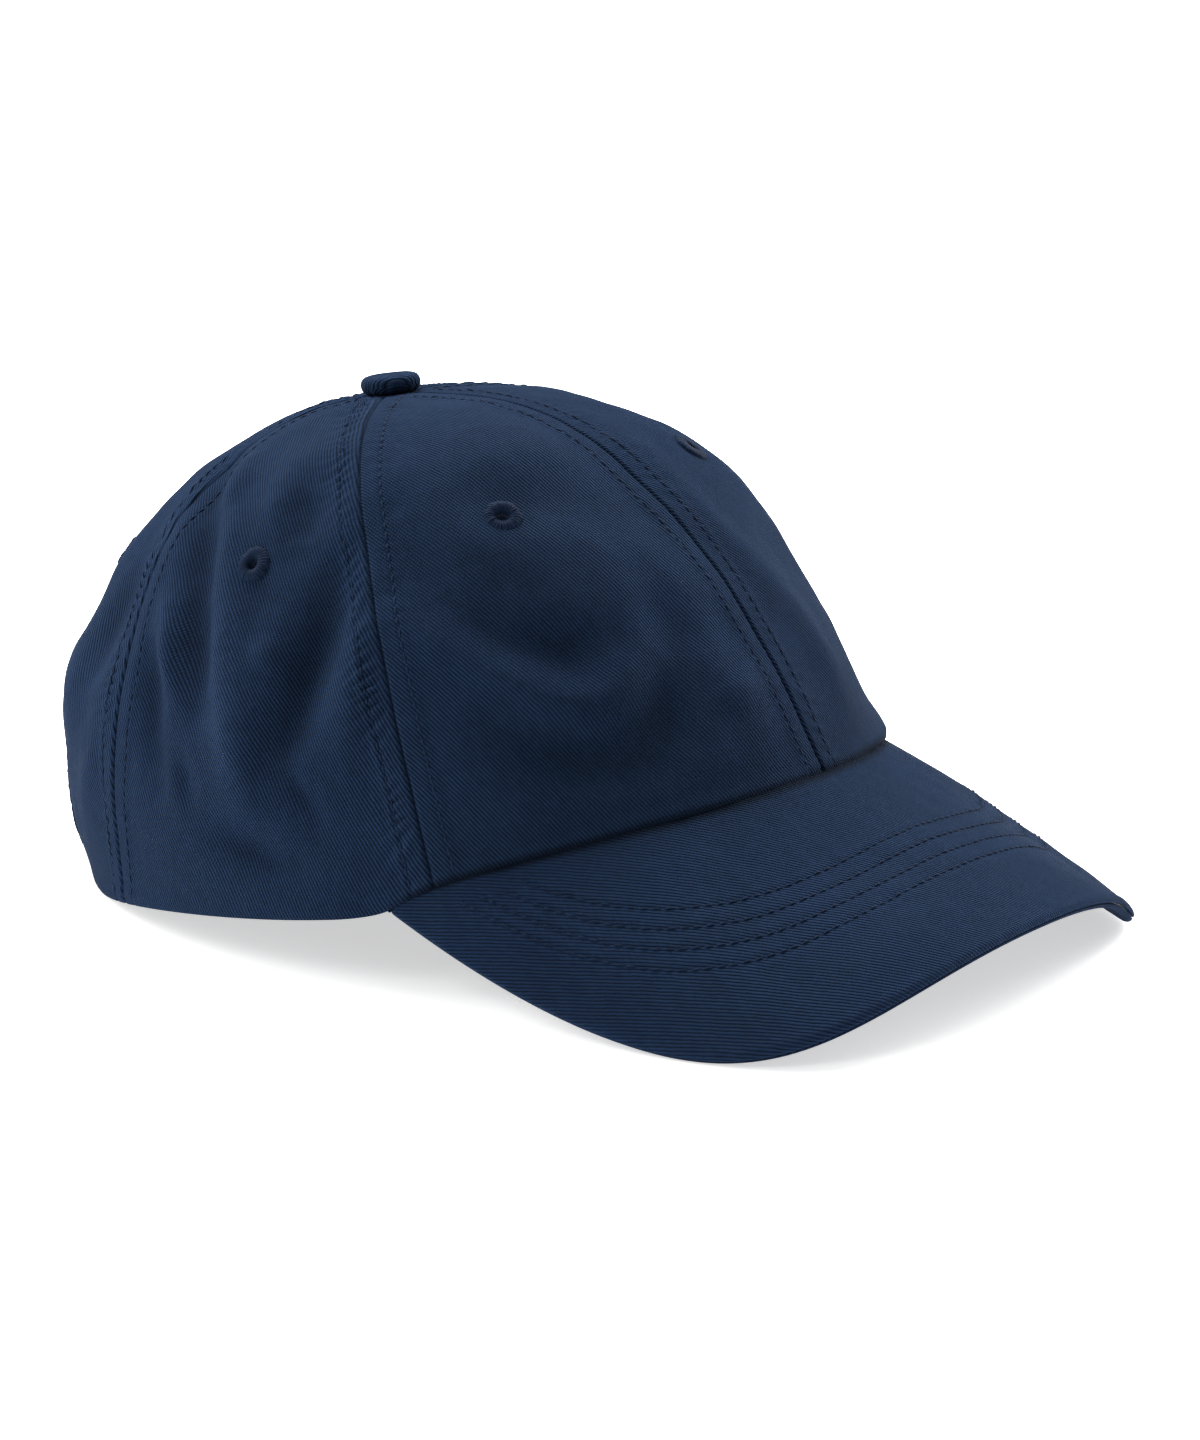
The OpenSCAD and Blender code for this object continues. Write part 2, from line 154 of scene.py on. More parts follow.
def peak_raw(k, w, out, d):
    au, aq = flat_of(k * PEAK_END * 0.955)
    t = k * T_END * 0.985
    n = rim_out(t)
    o = rim_flat(t) - RND * n
    fu = au + (o[..., 0] - au) * w + out * n[..., 0]
    fq = aq + (o[..., 1] - aq) * w + out * n[..., 1]
    return bend(fu, fq) - np.asarray(d)[..., None] * bend_n(fu), fu, fq


_k = np.linspace(-1, 1, 37)
_e = np.concatenate([tipped(peak_raw(_k, np.ones(37), np.full(37, RND * math.sin(a * D)), np.full(37, RND + RND * math.cos(a * D)))[0])
                     for a in (0, 30, 60, 89)])
_r = np.concatenate([tipped(crown(np.full(13, s), np.arange(150., 211., 5.))) for s in (0, .1, .2, .3)])
LOW = min(_e[:, 2].min(), _r[:, 2].min())
YC = (_e[:, 1].min() + _r[:, 1].max() + 0.45) / 2


def place(v): return tipped(np.asarray(v, float)) - np.array([0, YC, LOW])


# ---------------------------------------------------------------- crown by angle and by length up from the edge
PT = np.linspace(-180, 180, 721)
UT = np.linspace(0, 1, 361)
_ss = 1 - (1 - np.linspace(0, 1, 1200)) ** 2.2
_pp = PT[None, :]
_top = s_at_radius(PT, 0.012)[None, :]
_S = _ss[:, None] * _top
_C = crown(_S, np.broadcast_to(_pp, _S.shape))
_L = np.concatenate([np.zeros((1, len(PT))), np.cumsum(np.linalg.norm(np.diff(_C, axis=0), axis=-1), 0)])
LTOT = _L[-1]
STAB = np.stack([np.interp(UT * LTOT[j], _L[:, j], _S[:, j]) for j in range(len(PT))], 1)


def bil(tab, lam, p):
    x = (wrap(p) + 180.0) / 0.5
    y = np.clip(lam, 0, 1) * (len(UT) - 1)
    i = np.clip(np.floor(y).astype(int), 0, len(UT) - 2)
    j = np.clip(np.floor(x).astype(int), 0, len(PT) - 2)
    fy, fx = y - i, x - j
    return (tab[i, j] * (1 - fy) * (1 - fx) + tab[i + 1, j] * fy * (1 - fx) + tab[i, j + 1] * (1 - fy) * fx + tab[i + 1, j + 1] * fy * fx)


def ltot(p): return np.interp(wrap(p), PT, LTOT)


def skew(lam, p):
    """the soft front has been pushed a little to the wearer's left at the foot of its centre seam"""
    return p + 2.6 * np.exp(-(wrap(p) / 34.0) ** 2) * np.clip(1 - lam, 0, 1) ** 1.3


def base(lam, p):
    q = skew(lam, p)
    return crown(bil(STAB, lam, q), q)


def base_n(lam, p):
    e = 0.004
    a = base(np.clip(lam - e, 0, 1), p)
    b = base(np.clip(lam + e, 0, 0.985), p)
    # near the top the way up is taken from a little lower down
    up = np.where((lam > 0.98)[..., None], base(np.full_like(lam, 0.984), p) - base(np.full_like(lam, 0.972), p), b - a)
    return unit(np.cross(base(lam, p + 0.7) - base(lam, p - 0.7), up))


def rloc(lam, p):
    c = base(lam, p)
    s = bil(STAB, lam, p)
    return np.hypot(c[..., 0], c[..., 1] - TOP_BACK * s)


# smooth noise: a sum of waves in random directions
def waves(seed, scale, n=26):
    r = np.random.default_rng(seed)
    k = r.normal(size=(n, 3))
    k = k / np.linalg.norm(k, axis=1, keepdims=True) * (2 * math.pi / (scale * r.uniform(0.75, 1.5, size=(n, 1))))
    return k, r.uniform(0, 2 * math.pi, n)


def wnoise(w, v):
    k, ph = w
    return np.sin(v @ k.T + ph).sum(-1) / math.sqrt(len(ph))


W_BIG, W_MID, W_SM, W_PK = waves(3, 42), waves(5, 17), waves(11, 7.0), waves(21, 9)
W_PKL = waves(31, 45)

# folds: (list of (angle, length up), height mm, half width mm); a negative height is a hollow
FOLDS = [
    # front right: the crescent under the eyelet, the hollow inside it and beside the centre seam
    ([(-57, 60), (-52, 51), (-46, 41), (-40, 32.5), (-34.5, 29), (-28, 30.5), (-22, 36)], 2.7, 3.9),
    ([(-50, 57), (-42, 47), (-35, 42.5), (-28, 44)], -2.2, 4.4),
    ([(-52, 33), (-43, 22), (-34, 17), (-24, 20)], -1.9, 5.6),
    ([(-15, 52), (-17, 40), (-24, 24), (-27, 15)], -1.9, 4.4),
    ([(-11, 27), (-9, 18)], 1.9, 5.0),
    ([(-38, 80), (-24, 77), (-10, 72)], -1.9, 6.5),
    ([(-44, 98), (-26, 97), (-10, 95)], 0.9, 7.0),
    ([(-48, 92), (-44, 76), (-44, 66)], 1.4, 5.6),
    ([(-56, 82), (-52, 70), (-50, 62)], -1.3, 4.2),
    # front left: long ridge beside the centre seam with a hollow between them
    ([(9, 100), (8, 80), (8.5, 62), (10, 50), (14, 34), (15, 22), (13, 10)], 1.5, 4.6),
    ([(34, 70), (38, 52), (36, 34)], 1.8, 7.0),
    ([(50, 88), (46, 60), (50, 36)], -1.1, 6.0),
    ([(26, 60), (24, 42)], -0.8, 5.6),
    # side right
    ([(-117, 104), (-108, 88), (-103, 74), (-101, 60), (-98.5, 46)], -2.9, 4.0),
    ([(-97, 84), (-94, 66), (-92.5, 50), (-91, 36), (-90, 26)], 2.6, 4.6),
    ([(-69, 76), (-73, 62), (-77, 52), (-81, 41), (-85, 34)], -2.9, 4.0),
    ([(-66, 58), (-69, 44), (-72, 34)], 1.5, 3.8),
    ([(-84, 62), (-84, 52)], 1.3, 3.8),
    ([(-109, 66), (-107, 56), (-104, 47)], 2.0, 2.9),
    ([(-113, 56), (-111, 44), (-108.5, 27)], -1.9, 3.2),
    ([(-103.5, 34), (-100.5, 22)], -1.2, 2.0),
    ([(-82.5, 31), (-78, 22)], -1.1, 1.8),
    ([(-96, 19), (-90, 14), (-84, 12)], -1.2, 3.4),
    ([(-83, 104), (-85, 92), (-83, 84)], 1.4, 4.2),
    ([(-74, 98), (-77, 84)], -1.3, 4.2),
    ([(-105, 104), (-101, 92)], 1.3, 3.4),
    # rear right
    ([(-128, 78), (-131, 62), (-133, 46)], -2.1, 4.4),
    ([(-140, 90), (-142, 72), (-141, 52), (-138, 40)], 1.6, 5.6),
    ([(-126, 34), (-130, 22)], 1.2, 4.2),
    ([(-160, 92), (-156, 76)], -1.8, 4.8),
    ([(-172, 96), (-170, 84), (-172, 74)], 1.5, 4.4),
    # side left
    ([(114, 96), (106, 78), (103, 60), (106, 42)], -2.4, 4.4),
    ([(95, 88), (92, 70), (94, 50), (97, 34)], 2.3, 5.0),
    ([(72, 84), (76, 66), (83, 50), (84, 36)], -2.3, 4.4),
    ([(68, 50), (72, 34)], 1.5, 4.2),
    ([(85, 104), (84, 92)], 1.3, 4.2),
    ([(110, 30), (104, 20)], -0.9, 3.6),
    # rear left
    ([(128, 84), (132, 66), (130, 46)], -2.1, 4.4),
    ([(142, 94), (144, 76), (141, 56), (138, 42)], 2.1, 5.4),
    ([(160, 96), (157, 80)], -1.8, 4.8),
    ([(172, 92), (171, 80)], 1.5, 4.4),
    ([(126, 30), (131, 20)], 1.1, 4.0),
]


def fold_sum(L, p, r):
    out = np.zeros_like(L)
    for pts, amp, wid in FOLDS:
        best = np.full(L.shape, 1e9)
        tt = np.zeros(L.shape)
        n = len(pts) - 1
        for k in range(n):
            (p0, l0), (p1, l1) = pts[k], pts[k + 1]
            ax = wrap(p - p0) * D * r
            ay = L - l0
            bx = (p1 - p0) * D * r
            by = l1 - l0
            t = np.clip((ax * bx + ay * by) / (bx * bx + by * by + 1e-9), 0, 1)
            d = (ax - t * bx) ** 2 + (ay - t * by) ** 2
            m = d < best
            best = np.where(m, d, best)
            tt = np.where(m, (k + t) / n, tt)
        taper = 0.25 + 0.75 * np.sin(np.pi * np.clip(0.08 + 0.84 * tt, 0, 1))
        out += amp * taper * np.exp(-best / (2 * wid * wid))
    return out


SEAMS = [0.0, SEAM_F, -SEAM_F, SEAM_R, -SEAM_R, 180.0]
ROW_D = 4.9


def seam_dist(p, r, q):
    return wrap(p - q) * D * r


def disp(lam, p):
    """height of the real cloth above the smooth form, mm; also the share that counts as worn ridge"""
    L = lam * ltot(p)
    r = rloc(lam, p)
    v = base(lam, p)
    calm = sstep(0.0, 14.0, L) * (1 - 0.85 * sstep(0.86, 0.97, lam))
    big = fold_sum(L, p, r) * calm * (1 + 0.5 * sstep(126, 112, np.abs(wrap(p))) * sstep(54, 66, np.abs(wrap(p))))
    # slack of the whole panel at the back right and at the front left
    def hump(m, c, w): return m * np.exp(-((L - c) / w) ** 2)
    big += np.exp(-(wrap(p + 150) / 17.0) ** 2) * (hump(-2.2, 63, 12) + hump(1.3, 103, 12) + hump(0.8, 37, 6) + hump(1.6, 50, 11) + hump(-1.6, 90, 15))
    big += np.exp(-(wrap(p - 38) / 15.0) ** 2) * (hump(1.8, 3, 5.5) + hump(-0.5, 22, 10) + hump(-0.5, 47, 7) + hump(1.2, 69, 8) + hump(-0.7, 97, 12) + hump(-1.3, 40, 12) + hump(1.3, 83, 12))
    big += (0.42 * wnoise(W_BIG, v) + 0.17 * wnoise(W_MID, v) + 0.05 * wnoise(W_SM, v)) * calm
    fine = np.zeros_like(L)
    for i, q in enumerate(SEAMS):
        x = seam_dist(p, r, q)
        ax = np.abs(x)
        # the top of the crown is crowded, so seams fade out under the button
        up = 1 - sstep(0.93, 0.985, lam)
        low = sstep(0.0, 3.0, L)
        away = -1.0 if q < 0 else 1.0               # the side further from the front gathers more
        side = np.where(x > 0, 1.0, -1.0)
        heavy = np.where(side * away > 0, 1.0 if abs(q) > 1 else 0.40, 0.36)
        body = (0.14 + 0.24 * heavy) * (1 - sstep(ROW_D + 0.2, ROW_D + 2.2, ax))
        groove = -0.85 * np.exp(-(x / 0.40) ** 2)
        amp = 0.62 + 0.38 * np.sin(L / 13.0 + i * 2.1) * np.sin(L / 7.3 + i)
        ph = 2 * math.pi * (L / 3.1 + 0.10 * x * side + 0.55 * np.sin(L / 9.1 + i * 1.7 + side) + 0.40 * np.sin(L / 4.7 + i) + 0.2 * np.sin(L / 2.1 + 2 * i))
        env = np.exp(-((ax - 3.9) / 2.2) ** 2) + 0.40 * np.exp(-((ax - 7.8) / 2.4) ** 2)
        pucker = 0.46 * amp * heavy * env * np.sin(ph)
        stitch = -(0.10 + 0.24 * heavy) * np.exp(-((ax - ROW_D) / 0.5) ** 2)
        fine += (body + pucker) * up * low + (groove + stitch) * up
    # turned edge of the crown
    fine += 0.35 * np.exp(-((L - 1.6) / 1.6) ** 2)
    return big, fine


# ---------------------------------------------------------------- mesh helpers
def make(name, verts_mm, quads, uv=None, mat=None, attrs=None, sharp=48.0, tris=None, loops_uv=None):
    me = bpy.data.meshes.new(name)
    v = np.asarray(verts_mm, float) / 1000.0
    faces = [tuple(int(x) for x in f) for f in quads]
    if tris is not None:
        faces += [tuple(int(x) for x in f) for f in tris]
    me.from_pydata(v.tolist(), [], faces)
    me.validate()
    me.update()
    # all faces look outwards
    n = len(me.polygons)
    if n:
        me.calc_loop_triangles()
        t = np.empty(len(me.loop_triangles) * 3, int)
        me.loop_triangles.foreach_get("vertices", t)
        t = t.reshape(-1, 3)
        vol = np.einsum("ij,ij->i", v[t[:, 0]], np.cross(v[t[:, 1]], v[t[:, 2]])).sum()
        if vol < 0:
            me.flip_normals()
        me.polygons.foreach_set("use_smooth", np.ones(n, bool))
    if uv is not None:
        lay = me.uv_layers.new(name="UVMap")
        li = np.empty(len(me.loops), int)
        me.loops.foreach_get("vertex_index", li)
        lay.data.foreach_set("uv", np.asarray(uv, float)[li].ravel())
    for k, a in (attrs or {}).items():
        at = me.attributes.new(k, "FLOAT", "POINT")
        at.data.foreach_set("value", np.asarray(a, float).ravel())
    me.set_sharp_from_angle(angle=math.radians(sharp))
    o = bpy.data.objects.new(name, me)
    bpy.context.scene.collection.objects.link(o)
    if mat is not None:
        me.materials.append(mat)
    return o


def shell(A, B, keep=None, closed=False):
    """quads of a closed shell between two grids of points, with its rim and the rims of its holes"""
    n, m = A.shape[:2]
    mm = m if closed else m - 1
    i, j = np.meshgrid(np.arange(n - 1), np.arange(mm), indexing="ij")
    j1 = (j + 1) % m
    q = np.stack([i * m + j, i * m + j1, (i + 1) * m + j1, (i + 1) * m + j], -1)
    q = q[keep] if keep is not None else q.reshape(-1, 4)
    o = n * m
    e = np.concatenate([q[:, [0, 1]], q[:, [1, 2]], q[:, [2, 3]], q[:, [3, 0]]])
    code = e[:, 0] * o + e[:, 1]
    rev = e[:, 1] * o + e[:, 0]
    e = e[~np.isin(rev, code)]
    walls = np.stack([e[:, 1], e[:, 0], e[:, 0] + o, e[:, 1] + o], -1)
    faces = np.concatenate([q, q[:, ::-1] + o, walls])
    verts = np.concatenate([A.reshape(-1, 3), B.reshape(-1, 3)])
    used = np.unique(faces)
    back = np.full(len(verts), -1)
    back[used] = np.arange(len(used))
    return verts[used], back[faces], used


def polyline(P, step, phase=0.0):
    """points at even steps along a line, with the direction there"""
    d = np.linalg.norm(np.diff(P, axis=0), axis=1)
    L = np.concatenate([[0], np.cumsum(d)])
    n = max(2, int((L[-1] - phase) / step))
    at = phase + step * (np.arange(n) + 0.5)
    at = at[at < L[-1]]
    C = np.stack([np.interp(at, L, P[:, k]) for k in range(3)], -1)
    e = 0.6
    A2 = np.stack([np.interp(np.clip(at - e, 0, L[-1]), L, P[:, k]) for k in range(3)], -1)
    B2 = np.stack([np.interp(np.clip(at + e, 0, L[-1]), L, P[:, k]) for k in range(3)], -1)
    return C, unit(B2 - A2), at


def stitches(lines, length=2.15, step=2.75, rad=0.27, lift=0.10, seed=1, sides=6):
    """verts, faces for rows of lockstitch; lines is [(points, normals), ...]"""
    r = np.random.default_rng(seed)
    V, F, o = [], [], 0
    xs = np.array([-1.0, -0.86, -0.5, 0.0, 0.5, 0.86, 1.0])
    rs = np.array([0.45, 0.82, 1.0, 1.05, 1.0, 0.82, 0.45])
    hs = np.array([-0.34, -0.16, 0.02, 0.08, 0.02, -0.16, -0.34])
    a = np.arange(sides) * 2 * math.pi / sides
    for P, N in lines:
        C, T, at = polyline(P, step, r.uniform(0, 0.8))
        d = np.concatenate([[0], np.cumsum(np.linalg.norm(np.diff(P, axis=0), axis=1))])
        Nn = unit(np.stack([np.interp(at, d, N[:, k]) for k in range(3)], -1))
        S = unit(np.cross(Nn, T))
        tilt = (r.normal(0, 0.045, len(C)) + 0.03)[:, None]
        T = unit(T + tilt * S)
        S = unit(np.cross(Nn, T))
        ln = length / 2 * (1 + r.normal(0, 0.05, len(C)))
        C = C + Nn * (lift + r.normal(0, 0.02, len(C)))[:, None]
        ring = (C[:, None, None, :] + T[:, None, None, :] * (xs[None, :, None, None] * ln[:, None, None, None])
                + Nn[:, None, None, :] * hs[None, :, None, None]
                + (S[:, None, None, :] * np.cos(a)[None, None, :, None] + Nn[:, None, None, :] * np.sin(a)[None, None, :, None] * 0.8)
                * (rad * rs)[None, :, None, None])
        k = len(C)
        V.append(ring.reshape(-1, 3))
        base_i = (o + np.arange(k) * len(xs) * sides)[:, None, None]
        i, j = np.meshgrid(np.arange(len(xs) - 1), np.arange(sides), indexing="ij")
        j1 = (j + 1) % sides
        q = np.stack([i * sides + j, i * sides + j1, (i + 1) * sides + j1, (i + 1) * sides + j], -1).reshape(1, -1, 4)
        F += (base_i + q).reshape(-1, 4).tolist()
        for b in (o + np.arange(k) * len(xs) * sides):
            F.append([int(b) + x for x in range(sides - 1, -1, -1)])
            F.append([int(b) + (len(xs) - 1) * sides + x for x in range(sides)])
        o += k * len(xs) * sides
    return np.concatenate(V), F


def stitch_piece(name, lines, mat, **kw):
    V, F = stitches(lines, **kw)
    me = bpy.data.meshes.new(name)
    me.from_pydata((V / 1000).tolist(), [], F)
    me.polygons.foreach_set("use_smooth", np.ones(len(me.polygons), bool))
    me.update()
    o = bpy.data.objects.new(name, me)
    bpy.context.scene.collection.objects.link(o)
    me.calc_loop_triangles()
    t = np.array([tuple(x.vertices) for x in me.loop_triangles[:400]])
    v = V / 1000
    c = v[t[:, 0]] - v[:].mean(0) * 0
    vol = 0.0
    k = 7 * 6
    c0 = v[:k].mean(0)
    tt = np.array([x for x in t if x.max() < k])
    if len(tt):
        vol = np.einsum("ij,ij->i", v[tt[:, 0]] - c0, np.cross(v[tt[:, 1]] - c0, v[tt[:, 2]] - c0)).sum()
    if vol < 0:
        me.flip_normals()
    me.materials.append(mat)
    return o


# ---------------------------------------------------------------- materials
def lin(c):
    c = np.asarray(c, float) / 255.0
    return tuple(np.where(c <= 0.04045, c / 12.92, ((c + 0.055) / 1.055) ** 2.4)) + (1.0,)


class G:
    """a small helper for node graphs"""

    def __init__(self, name):
        self.m = bpy.data.materials.new(name)
        self.m.use_nodes = True
        self.t = self.m.node_tree
        self.bsdf = next(n for n in self.t.nodes if n.type == "BSDF_PRINCIPLED")

    def n(self, kind, **kw):
        x = self.t.nodes.new(kind)
        for k, v in kw.items():
            setattr(x, k, v)
        return x

    def link(self, a, b): self.t.links.new(a, b)

    def put(self, sock, v):
        if isinstance(v, bpy.types.NodeSocket):
            self.link(v, sock)
        else:
            sock.default_value = v

    def math(self, op, a, b=None, c=None, clamp=False):
        x = self.n("ShaderNodeMath", operation=op, use_clamp=clamp)
        self.put(x.inputs[0], a)
        if b is not None: self.put(x.inputs[1], b)
        if c is not None: self.put(x.inputs[2], c)
        return x.outputs[0]

    def vmath(self, op, a, b=None, out=0):
        x = self.n("ShaderNodeVectorMath", operation=op)
        self.put(x.inputs[0], a)
        if b is not None: self.put(x.inputs[1], b)
        return x.outputs[out]

    def uv(self): return self.n("ShaderNodeUVMap", uv_map="UVMap").outputs[0]
    def obj(self): return self.n("ShaderNodeTexCoord").outputs["Object"]

    def noise(self, vec, scale, detail=2.0, rough=0.5, dist=0.0):
        x = self.n("ShaderNodeTexNoise")
        self.put(x.inputs["Vector"], vec)
        x.inputs["Scale"].default_value = scale
        x.inputs["Detail"].default_value = detail
        x.inputs["Roughness"].default_value = rough
        x.inputs["Distortion"].default_value = dist
        return x.outputs["Fac"]

    def attr(self, name): return self.n("ShaderNodeAttribute", attribute_name=name, attribute_type="GEOMETRY").outputs["Fac"]

    def mix(self, f, a, b, blend="MIX"):
        x = self.n("ShaderNodeMix", data_type="RGBA", blend_type=blend)
        self.put(x.inputs[0], f)
        self.put(x.inputs[6], a)
        self.put(x.inputs[7], b)
        return x.outputs[2]

    def rng(self, v, a, b, c, d, smooth=False):
        x = self.n("ShaderNodeMapRange", clamp=True)
        if smooth: x.interpolation_type = "SMOOTHSTEP"
        self.put(x.inputs[0], v)
        for i, k in enumerate((a, b, c, d)): self.put(x.inputs[i + 1], k)
        return x.outputs[0]

    def scale_col(self, col, f):
        """multiply a colour by a number"""
        c = self.n("ShaderNodeCombineColor")
        for i in range(3): self.link(f, c.inputs[i])
        return self.mix(1.0, col, c.outputs[0], "MULTIPLY")

    def bump(self, h, dist, strength=1.0, normal=None):
        x = self.n("ShaderNodeBump")
        x.inputs["Strength"].default_value = strength
        x.inputs["Distance"].default_value = dist
        self.link(h, x.inputs["Height"])
        if normal is not None: self.link(normal, x.inputs["Normal"])
        return x.outputs[0]

    def set(self, **kw):
        for k, v in kw.items():
            self.put(self.bsdf.inputs[k.replace("_", " ")], v)
        return self.m


def twill(name, colour, angle, pitch=0.74, seed=0.0, wear_highlight_col=(47, 64, 95), wear_highlight_amt=0.45, wobble=1.2, mott=1.0, depth=1.0, attr=True):
    """garment-washed twill: fine diagonal ribs built of yarn turns, uneven dye, worn ridges with a painted highlight on
    fold crests, and painted shade from the dark attribute. UVs are in mm.
    """
    g = G(name)
    uv = g.uv()
    ca, sa = math.cos(angle * D), math.sin(angle * D)
    # slow wobble of the grain, so the lines are not ruled
    wob = g.noise(g.vmath("ADD", uv, (seed, seed * 1.7, 0)), 0.055, 2.0, 0.5)
    wob2 = g.noise(g.vmath("ADD", uv, (seed + 40, seed, 0)), 0.30, 2.0, 0.5)
    across = g.math("ADD", g.vmath("DOT_PRODUCT", uv, (sa / pitch, ca / pitch, 0), out=1),
                    g.math("ADD", g.math("MULTIPLY", wob, wobble), g.math("MULTIPLY", wob2, 0.30)))
    along = g.vmath("DOT_PRODUCT", uv, (ca, -sa, 0), out=1)
    ph = g.math("FRACT", across)
    rib = g.math("SINE", g.math("MULTIPLY", ph, math.pi))            # 0 in the valley, 1 on the ridge
    rib = g.math("POWER", rib, 0.8)
    # yarn turns: short slanted swellings on each rib, in step with the rib number
    num = g.math("FLOOR", across)
    turn = g.math("SINE", g.math("ADD", g.math("MULTIPLY", along, 2 * math.pi / 0.60),
                                 g.math("ADD", g.math("MULTIPLY", num, 2.4), g.math("MULTIPLY", ph, 2.2))))
    turn = g.math("MULTIPLY_ADD", turn, 0.5, 0.5)
    fuzz = g.noise(uv, 1.9, 3.0, 0.6)
    slub = g.noise(g.vmath("MULTIPLY", uv, (0.55, 0.16, 1.0)), 1.0, 2.0, 0.5)
    h = g.math("ADD", g.math("MULTIPLY", rib, g.math("MULTIPLY_ADD", turn, 0.30, 0.70)),
               g.math("MULTIPLY", g.math("SUBTRACT", fuzz, 0.5), 0.8))
    # colour
    o = g.obj()
    m1 = g.noise(o, 26.0, 3.0, 0.55)
    m2 = g.noise(o, 95.0, 4.0, 0.62)
    m3 = g.noise(o, 420.0, 3.0, 0.6)
    k = g.math("ADD", 1.0, g.math("MULTIPLY", g.math("SUBTRACT", m1, 0.5), 0.34 * mott))
    k = g.math("ADD", k, g.math("MULTIPLY", g.math("SUBTRACT", m2, 0.5), 0.36 * mott))
    k = g.math("ADD", k, g.math("MULTIPLY", g.math("SUBTRACT", m3, 0.5), 0.42 * mott))
    k = g.math("ADD", k, g.math("MULTIPLY", g.math("SUBTRACT", slub, 0.5), 0.30 * mott))
    ribk = g.math("MULTIPLY_ADD", rib, 1.30 * depth, 1 - 0.88 * depth)
    k = g.math("MULTIPLY", k, ribk)
    k = g.math("MULTIPLY", k, g.math("MULTIPLY_ADD", g.math("MULTIPLY", turn, rib), 0.22, 0.92))
    base_c = g.n("ShaderNodeRGB")
    base_c.outputs[0].default_value = lin(colour)
    wear_highlight_c = g.n("ShaderNodeRGB")
    wear_highlight_c.outputs[0].default_value = lin(wear_highlight_col)
    # the dye is a little greener or greyer in places
    tint = g.mix(g.rng(g.noise(o, 40.0, 2.0), 0.35, 0.65, 0.0, 0.35), base_c.outputs[0],
                 lin(tuple(np.array(colour) * np.array([1.12, 1.07, 0.98]))))
    col = g.scale_col(tint, k)
    if attr:
        # lighter on worn seam ridges, plus a painted highlight on the crests of the big folds
        w = g.attr("wear_and_highlight")
        w = g.math("MULTIPLY", w, g.rng(g.math("ADD", g.math("MULTIPLY", m3, 0.6), g.math("MULTIPLY", fuzz, 0.4)), 0.35, 0.62, 0.25, 1.0))
        w = g.math("MULTIPLY", w, g.math("MULTIPLY_ADD", rib, 0.75, 0.25))
        col = g.mix(g.math("MULTIPLY", w, wear_highlight_amt, clamp=True), col, wear_highlight_c.outputs[0])
        # painted shade: darker in grooves, fold hollows and along joins between parts
        dk = g.attr("dark")
        col = g.mix(g.math("MULTIPLY", dk, 0.62, clamp=True), col, lin(tuple(np.array(colour) * 0.34)))
    nrm = g.bump(h, 0.00031 * depth, 1.0)
    g.set(Base_Color=col, Roughness=g.math("MULTIPLY_ADD", m2, 0.10, 0.88), Normal=nrm, Specular_IOR_Level=0.03,
          Sheen_Weight=0.05, Sheen_Roughness=0.5)
    g.bsdf.inputs["Sheen Tint"].default_value = (0.24, 0.46, 0.95, 1)
    return g.m


def plain_cloth(name, colour, pitch=0.62, ribbed=0.0, depth=1.0):
    """plain weave or tape; UVs in mm"""
    g = G(name)
    uv = g.uv()
    s = g.n("ShaderNodeSeparateXYZ")
    g.link(uv, s.inputs[0])
    u = g.math("SINE", g.math("MULTIPLY", s.outputs[0], 2 * math.pi / pitch))
    v = g.math("SINE", g.math("MULTIPLY", s.outputs[1], 2 * math.pi / pitch))
    weave = g.math("MULTIPLY_ADD", g.math("MULTIPLY", u, v), 0.5, 0.5)
    fuzz = g.noise(uv, 2.2, 3.0, 0.6)
    o = g.obj()
    m1, m2 = g.noise(o, 60.0, 3.0, 0.6), g.noise(o, 380.0, 3.0, 0.6)
    k = g.math("ADD", 0.92, g.math("MULTIPLY", g.math("SUBTRACT", m1, 0.5), 0.4))
    k = g.math("ADD", k, g.math("MULTIPLY", g.math("SUBTRACT", m2, 0.5), 0.5))
    k = g.math("MULTIPLY", k, g.math("MULTIPLY_ADD", weave, 0.36, 0.80))
    c = g.n("ShaderNodeRGB")
    c.outputs[0].default_value = lin(colour)
    h = g.math("ADD", weave, g.math("MULTIPLY", g.math("SUBTRACT", fuzz, 0.5), 0.8))
    if ribbed:
        r = g.math("SINE", g.math("MULTIPLY", s.outputs[0], 2 * math.pi / ribbed))
        h = g.math("ADD", h, g.math("MULTIPLY", r, 0.9))
    g.set(Base_Color=g.scale_col(c.outputs[0], k), Roughness=g.math("MULTIPLY_ADD", m1, 0.14, 0.80),
          Normal=g.bump(h, 0.00012 * depth, 1.0), Specular_IOR_Level=0.05, Sheen_Weight=0.06, Sheen_Roughness=0.5)
    g.bsdf.inputs["Sheen Tint"].default_value = (0.38, 0.55, 0.95, 1)
    return g.m


def thread_mat(name, colour):
    g = G(name)
    o = g.obj()
    m1, m2 = g.noise(o, 160.0, 2.0, 0.6), g.noise(o, 1700.0, 2.0, 0.6)
    k = g.math("ADD", 0.9, g.math("ADD", g.math("MULTIPLY", g.math("SUBTRACT", m1, 0.5), 0.7),
                                  g.math("MULTIPLY", g.math("SUBTRACT", m2, 0.5), 0.7)))
    c = g.n("ShaderNodeRGB")
    c.outputs[0].default_value = lin(colour)
    g.set(Base_Color=g.scale_col(c.outputs[0], k), Roughness=g.math("MULTIPLY_ADD", m1, 0.2, 0.62),
          Normal=g.bump(m2, 0.00006), Specular_IOR_Level=0.05)
    return g.m


